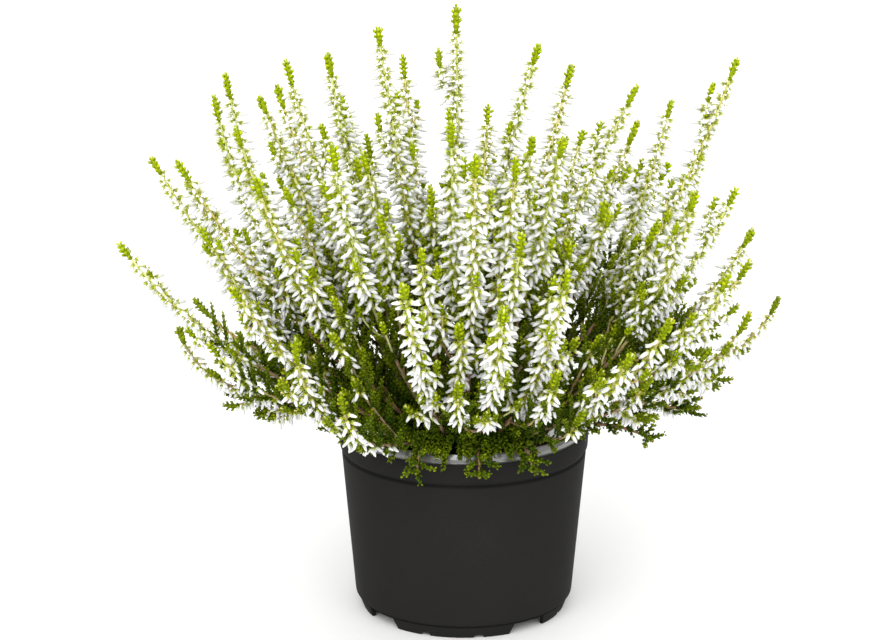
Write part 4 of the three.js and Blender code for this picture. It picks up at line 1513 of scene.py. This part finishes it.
class HEATHER_OT_make_stems(bpy.types.Operator):
    """Make the flowering stems with their buds, leaves and green tips"""

    bl_idname = "heather.make_stems"
    bl_label = "Make flowering stems"

    def execute(self, context):
        settings = context.scene.heather_plant
        bud = bud_pattern(settings.bud_length / MM, settings.bud_width / MM)
        materials = {
            "buds": petal_material(settings), "leaves": leaf_material(settings),
            "wood": bark_material(settings)}
        slots = {"buds": "flowers", "leaves": "leaves", "wood": "bark"}
        for stem, (leader, sides) in enumerate(lay_plant()):
            node_name = f"stem_{stem + 1:02d}"
            growths = {kind: Growth() for kind in slots}
            rng = np.random.default_rng(SEEDS["stems"] + stem)
            extras, hanging = self.grow_wood(growths["wood"], leader, sides, rng)
            self.grow_sprays(growths, leader, sides, extras, hanging, bud, settings, rng)
            self.grow_twigs(growths["leaves"], leader, sides, settings, rng)
            for kind, growth in growths.items():
                name = remade(f"{node_name}_{kind}")
                show(growth.mesh(name), materials[kind], slots[kind], node_name)
        return {"FINISHED"}

    @staticmethod
    def grow_wood(wood, leader, sides, rng):
        """The bark of a stem and all its sprays. Returns the short sprays."""
        draw = rng.random()
        height = leader.at(1)[0][2]
        young = np.interp(height, *YOUNG_BARK["tip"])
        stem_wood(wood, leader, draw, young)
        for side in sides:
            add_wood(wood, side, SIDE_RADII, (YOUNG_BARK["side_foot"], young), draw,
                     WOOD_SIDES["side"])
        shares = [rng.uniform(*between) for between in SPRAY_FORKS["shares"]]
        if height < LOW_STEM:
            shares = shares[:SPRAY_FORKS["on_low_stem"]]
        extras = extra_sprays(leader, shares, SPRAY_FORKS["length"], rng)
        if height >= LOW_STEM:
            share = rng.uniform(*LOWEST_FORK["share"])
            extras += extra_sprays(leader, [share], LOWEST_FORK["length"], rng)
        for side in sides:
            for fork in SIDE_FORKS:
                if side.at(1)[0][2] > fork["above"]:
                    share = rng.uniform(*fork["share"])
                    extras += extra_sprays(side, [share], fork["length"], rng)
        hanging = hanging_sprays(leader, rng)
        for extra in extras + hanging:
            add_wood(wood, extra, SPRAY_RADII, (YOUNG_BARK["spray_foot"] * young, young), draw,
                     WOOD_SIDES["spray"])
        return extras, hanging

    @staticmethod
    def grow_sprays(growths, leader, sides, extras, hanging, bud, settings, rng):
        """Buds, bracts and a green tip on every spray of a stem."""
        pitch = settings.bud_pitch / MM
        full, small = full_leaf(), scale_leaf()
        tip = leader.at(1)[0]
        outer = np.interp(math.hypot(tip[0], tip[1]), *SPARSE["reach"])
        sparse = SPARSE["least"] + SPARSE["more"] * outer
        shoots = main_shoots(leader, sides)
        shoots += [(extra, FIRST_BUD["spray"]) for extra in extras + hanging]
        for course, earliest in shoots:
            start = earliest if course in hanging else flower_start(course, earliest)
            short = course in extras or course in hanging
            tip_length = rng.uniform(*TIP_LENGTH["spray" if short else "stem"])
            bud_end = 1 - (tip_length - TIP_OVERLAP) / course.length
            add_buds(growths["buds"], bud, course, start, bud_end, pitch, rng, sparse)
            add_leafy_tip(growths["leaves"], full, course, 1 - tip_length / course.length, rng,
                          TIP_WIDTH["spray"] if short else rng.uniform(*TIP_WIDTH["stem"]))
            span = bud_end - start
            rise = np.linspace(0, 1, max(2, round(span * course.length / BRACT["pitch"])))
            shares = start + span * (BRACT["even"] * rise + BRACT["crowded"] * rise ** 2)
            add_scales(growths["leaves"], small, *course.frames(shares),
                       BRACT["size"] - BRACT["smaller"] * rise, BRACT["spread"],
                       BRACT["from_axis"], rng, BRACT["fresh"] + BRACT["fresher"] * rise)

    @staticmethod
    def grow_twigs(leaves, leader, sides, settings, rng):
        """The leafy twigs of a stem, below its buds and at its foot."""
        small = scale_leaf()
        pitch = settings.twig_pitch / MM
        way, tone = STEM_TWIGS, STEM_TWIG_AGE_AND_SHADE
        for course, earliest in main_shoots(leader, sides):
            end = min(flower_start(course, earliest) + way["past_first_bud"], way["until"])
            twigs = side_twigs(course, way["from"], end, pitch, way, rng)
            # Lower twigs get darker leaves: partly their age, partly painted shade.
            height = np.array([root[2] - POT_HEIGHT for root, _, _ in twigs]) / tone["over"]
            fresh = tone["low"] + tone["more"] * height.clip(0, 1)
            fresh = (fresh + rng.normal(0, tone["vary"], len(twigs))).clip(0, tone["most"])
            add_twigs(leaves, small, twigs, rng, fresh)
        twigs = ground_twigs(leader, rng)
        fresh = rng.uniform(*GROUND_LEAVES["fresh"], len(twigs))
        add_twigs(leaves, small, twigs, rng, fresh, GROUND_LEAVES["leaf"], GROUND_LEAVES["pitch"])


class HEATHER_OT_make_leafy_shoots(bpy.types.Operator):
    """Make the leafy shoots that lean over the rim"""

    bl_idname = "heather.make_leafy_shoots"
    bl_label = "Make leafy shoots"

    def execute(self, context):
        settings = context.scene.heather_plant
        leaves = bpy.data.materials.get("Heather leaves") or leaf_material(settings)
        bark = bpy.data.materials.get("Heather bark") or bark_material(settings)
        leaf, way = full_leaf(), LEAFY_TWIGS
        for index, entry in enumerate(LEAFY_SHOOTS):
            rng = np.random.default_rng(SEEDS["leafy_shoots"] + index)
            course = leafy_course(entry)
            wood, green = Growth(), Growth()
            stem_wood(wood, course, rng.random(), YOUNG_BARK["leafy"])
            twigs = side_twigs(course, way["from"], way["until"], way["apart"], way, rng)
            twigs = [self.off_the_pot(twig, rng) for twig in twigs]
            if abs(entry[0] - FRONT_SHOOT["bearing"]) >= FRONT_SHOOT["within"]:
                twigs = [self.lifted(twig) for twig in twigs]
            fresh = rng.uniform(*LEAFY_LEAVES["fresh"], len(twigs))
            add_twigs(green, leaf, twigs, rng, fresh, pitch=LEAFY_LEAVES["pitch"])
            add_leafy_tip(green, leaf, course, LEAFY_LEAVES["tip_from"], rng,
                          LEAFY_LEAVES["tip_width"])
            node_name = f"leafy_shoot_{index + 1:02d}"
            show(green.mesh(remade(f"{node_name}_leaves")), leaves, "leaves", node_name)
            show(wood.mesh(remade(f"{node_name}_wood")), bark, "bark", node_name)
        return {"FINISHED"}

    @staticmethod
    def lifted(twig):
        """A twig that would hang below its shoot spreads level instead."""
        root, bend, end = twig
        rise = UP * max(0, root[2] - LEVEL_DROP - end[2])
        return root, bend + rise / 2, end + rise

    @staticmethod
    def off_the_pot(twig, rng):
        """Over the rim a twig turns sideways or outwards, and is short where the shoot hangs."""
        root, bend, end = twig
        out = unit(root * [1, 1, 0])
        step = end - root
        step = step - OVER_RIM["outwards"] * min(0, step @ out) * out
        outside = root @ out > RIM_RADIUS
        shorter = np.interp(root[2], *OVER_RIM["shorter"]) if outside else 1.0
        step = step * shorter + UP * OVER_RIM["lift"] * (1 - shorter)
        bend = root + step / 2 + rng.normal(0, OVER_RIM["stray"], 3) * shorter
        return root, bend, root + step


# ================================================================ stage


# Places on the stage are in metres.
CAMERA_PLACE = (0.0, -1.4086, 0.5605)
CAMERA_DOWN = 16.525             # degrees below the horizon
CAMERA_LEFT = 0.34               # degrees that the camera is turned to the left
SENSOR_WIDTH = 36.0
FURTHEST_SEEN = 30
FLOOR_REACH = 12
LIGHT_AIM = (0, 0, 0.15)
LIGHTS = [
    # name, place that it shines from, angle it spans in degrees, strength, colour
    ("key_light", (-0.6, -1.9, 1.7), 40.0, 1.4, (1.0, 0.995, 0.985)),
    ("fill_light", (0.7, -1.8, 1.0), 60.0, 1.0, (0.99, 0.995, 1.0)),
    ("back_light", (0.3, 1.5, 2.2), 60.0, 0.45, (1.0, 1.0, 1.0)),
]


class HEATHER_OT_make_stage(bpy.types.Operator):
    """Make the floor, the lights and the camera"""

    bl_idname = "heather.make_stage"
    bl_label = "Make stage"

    def execute(self, context):
        settings = context.scene.heather_stage
        scene = context.scene
        self.make_floor(scene, settings)
        self.make_lights(scene)
        world = scene.world or bpy.data.worlds.new("Studio")
        scene.world = world
        world.use_nodes = True
        sky = world.node_tree.nodes["Background"]
        sky.inputs["Color"].default_value = (1, 1, 1, 1)
        sky.inputs["Strength"].default_value = settings.sky
        data = bpy.data.cameras.new("photo_camera")
        data.lens = settings.lens
        data.sensor_width = SENSOR_WIDTH
        data.clip_end = FURTHEST_SEEN
        camera = bpy.data.objects.new(remade("photo_camera"), data)
        camera.location = CAMERA_PLACE
        camera.rotation_euler = (math.radians(90 - CAMERA_DOWN), 0, math.radians(CAMERA_LEFT))
        scene.collection.objects.link(camera)
        scene.camera = camera
        scene.view_settings.view_transform = "Standard"
        return {"FINISHED"}

    @staticmethod
    def make_floor(scene, settings):
        sheet = bmesh.new()
        bmesh.ops.create_grid(sheet, x_segments=1, y_segments=1, size=FLOOR_REACH)
        mesh = bpy.data.meshes.new(remade("studio_floor"))
        sheet.to_mesh(mesh)
        sheet.free()
        mesh.materials.append(floor_material(settings))
        floor = bpy.data.objects.new(mesh.name, mesh)
        scene.collection.objects.link(floor)

    @staticmethod
    def make_lights(scene):
        for name, place, span, strength, colour in LIGHTS:
            data = bpy.data.lights.new(name, "SUN")
            data.angle = math.radians(span)
            data.energy = strength
            data.color = colour
            lamp = bpy.data.objects.new(remade(name), data)
            lamp.location = place
            aim = Vector(LIGHT_AIM) - Vector(place)
            lamp.rotation_euler = aim.to_track_quat("-Z", "Y").to_euler()
            scene.collection.objects.link(lamp)


# ================================================================ panel and registration


class HEATHER_PT_panel(bpy.types.Panel):
    """Buttons and sizes for the potted heather"""

    bl_label = "Potted heather"
    bl_idname = "HEATHER_PT_panel"
    bl_space_type = "VIEW_3D"
    bl_region_type = "UI"
    bl_category = "Heather"

    def draw(self, context):
        scene = context.scene
        sections = (
            (scene.heather_pot, ("heather.make_pot",)),
            (scene.heather_peat, ("heather.make_peat",)),
            (scene.heather_plant, ("heather.make_stems", "heather.make_leafy_shoots")),
            (scene.heather_stage, ("heather.make_stage",)),
        )
        for settings, buttons in sections:
            box = self.layout.box()
            for name in settings.__annotations__:
                box.prop(settings, name)
            for button in buttons:
                box.operator(button)


CLASSES = (
    HeatherPlantSettings, HeatherPotSettings, HeatherPeatSettings, HeatherStageSettings,
    HEATHER_OT_make_pot, HEATHER_OT_make_peat, HEATHER_OT_make_stems,
    HEATHER_OT_make_leafy_shoots, HEATHER_OT_make_stage, HEATHER_PT_panel,
)
SETTINGS = {
    "heather_plant": HeatherPlantSettings, "heather_pot": HeatherPotSettings,
    "heather_peat": HeatherPeatSettings, "heather_stage": HeatherStageSettings,
}


def register():
    for item in CLASSES:
        bpy.utils.register_class(item)
    for name, group in SETTINGS.items():
        setattr(bpy.types.Scene, name, bpy.props.PointerProperty(type=group))


def unregister():
    for name in SETTINGS:
        delattr(bpy.types.Scene, name)
    for item in reversed(CLASSES):
        bpy.utils.unregister_class(item)


def main():
    register()
    bpy.ops.heather.make_pot()
    bpy.ops.heather.make_peat()
    bpy.ops.heather.make_stems()
    bpy.ops.heather.make_leafy_shoots()
    bpy.ops.heather.make_stage()


if __name__ == "__main__":
    main()
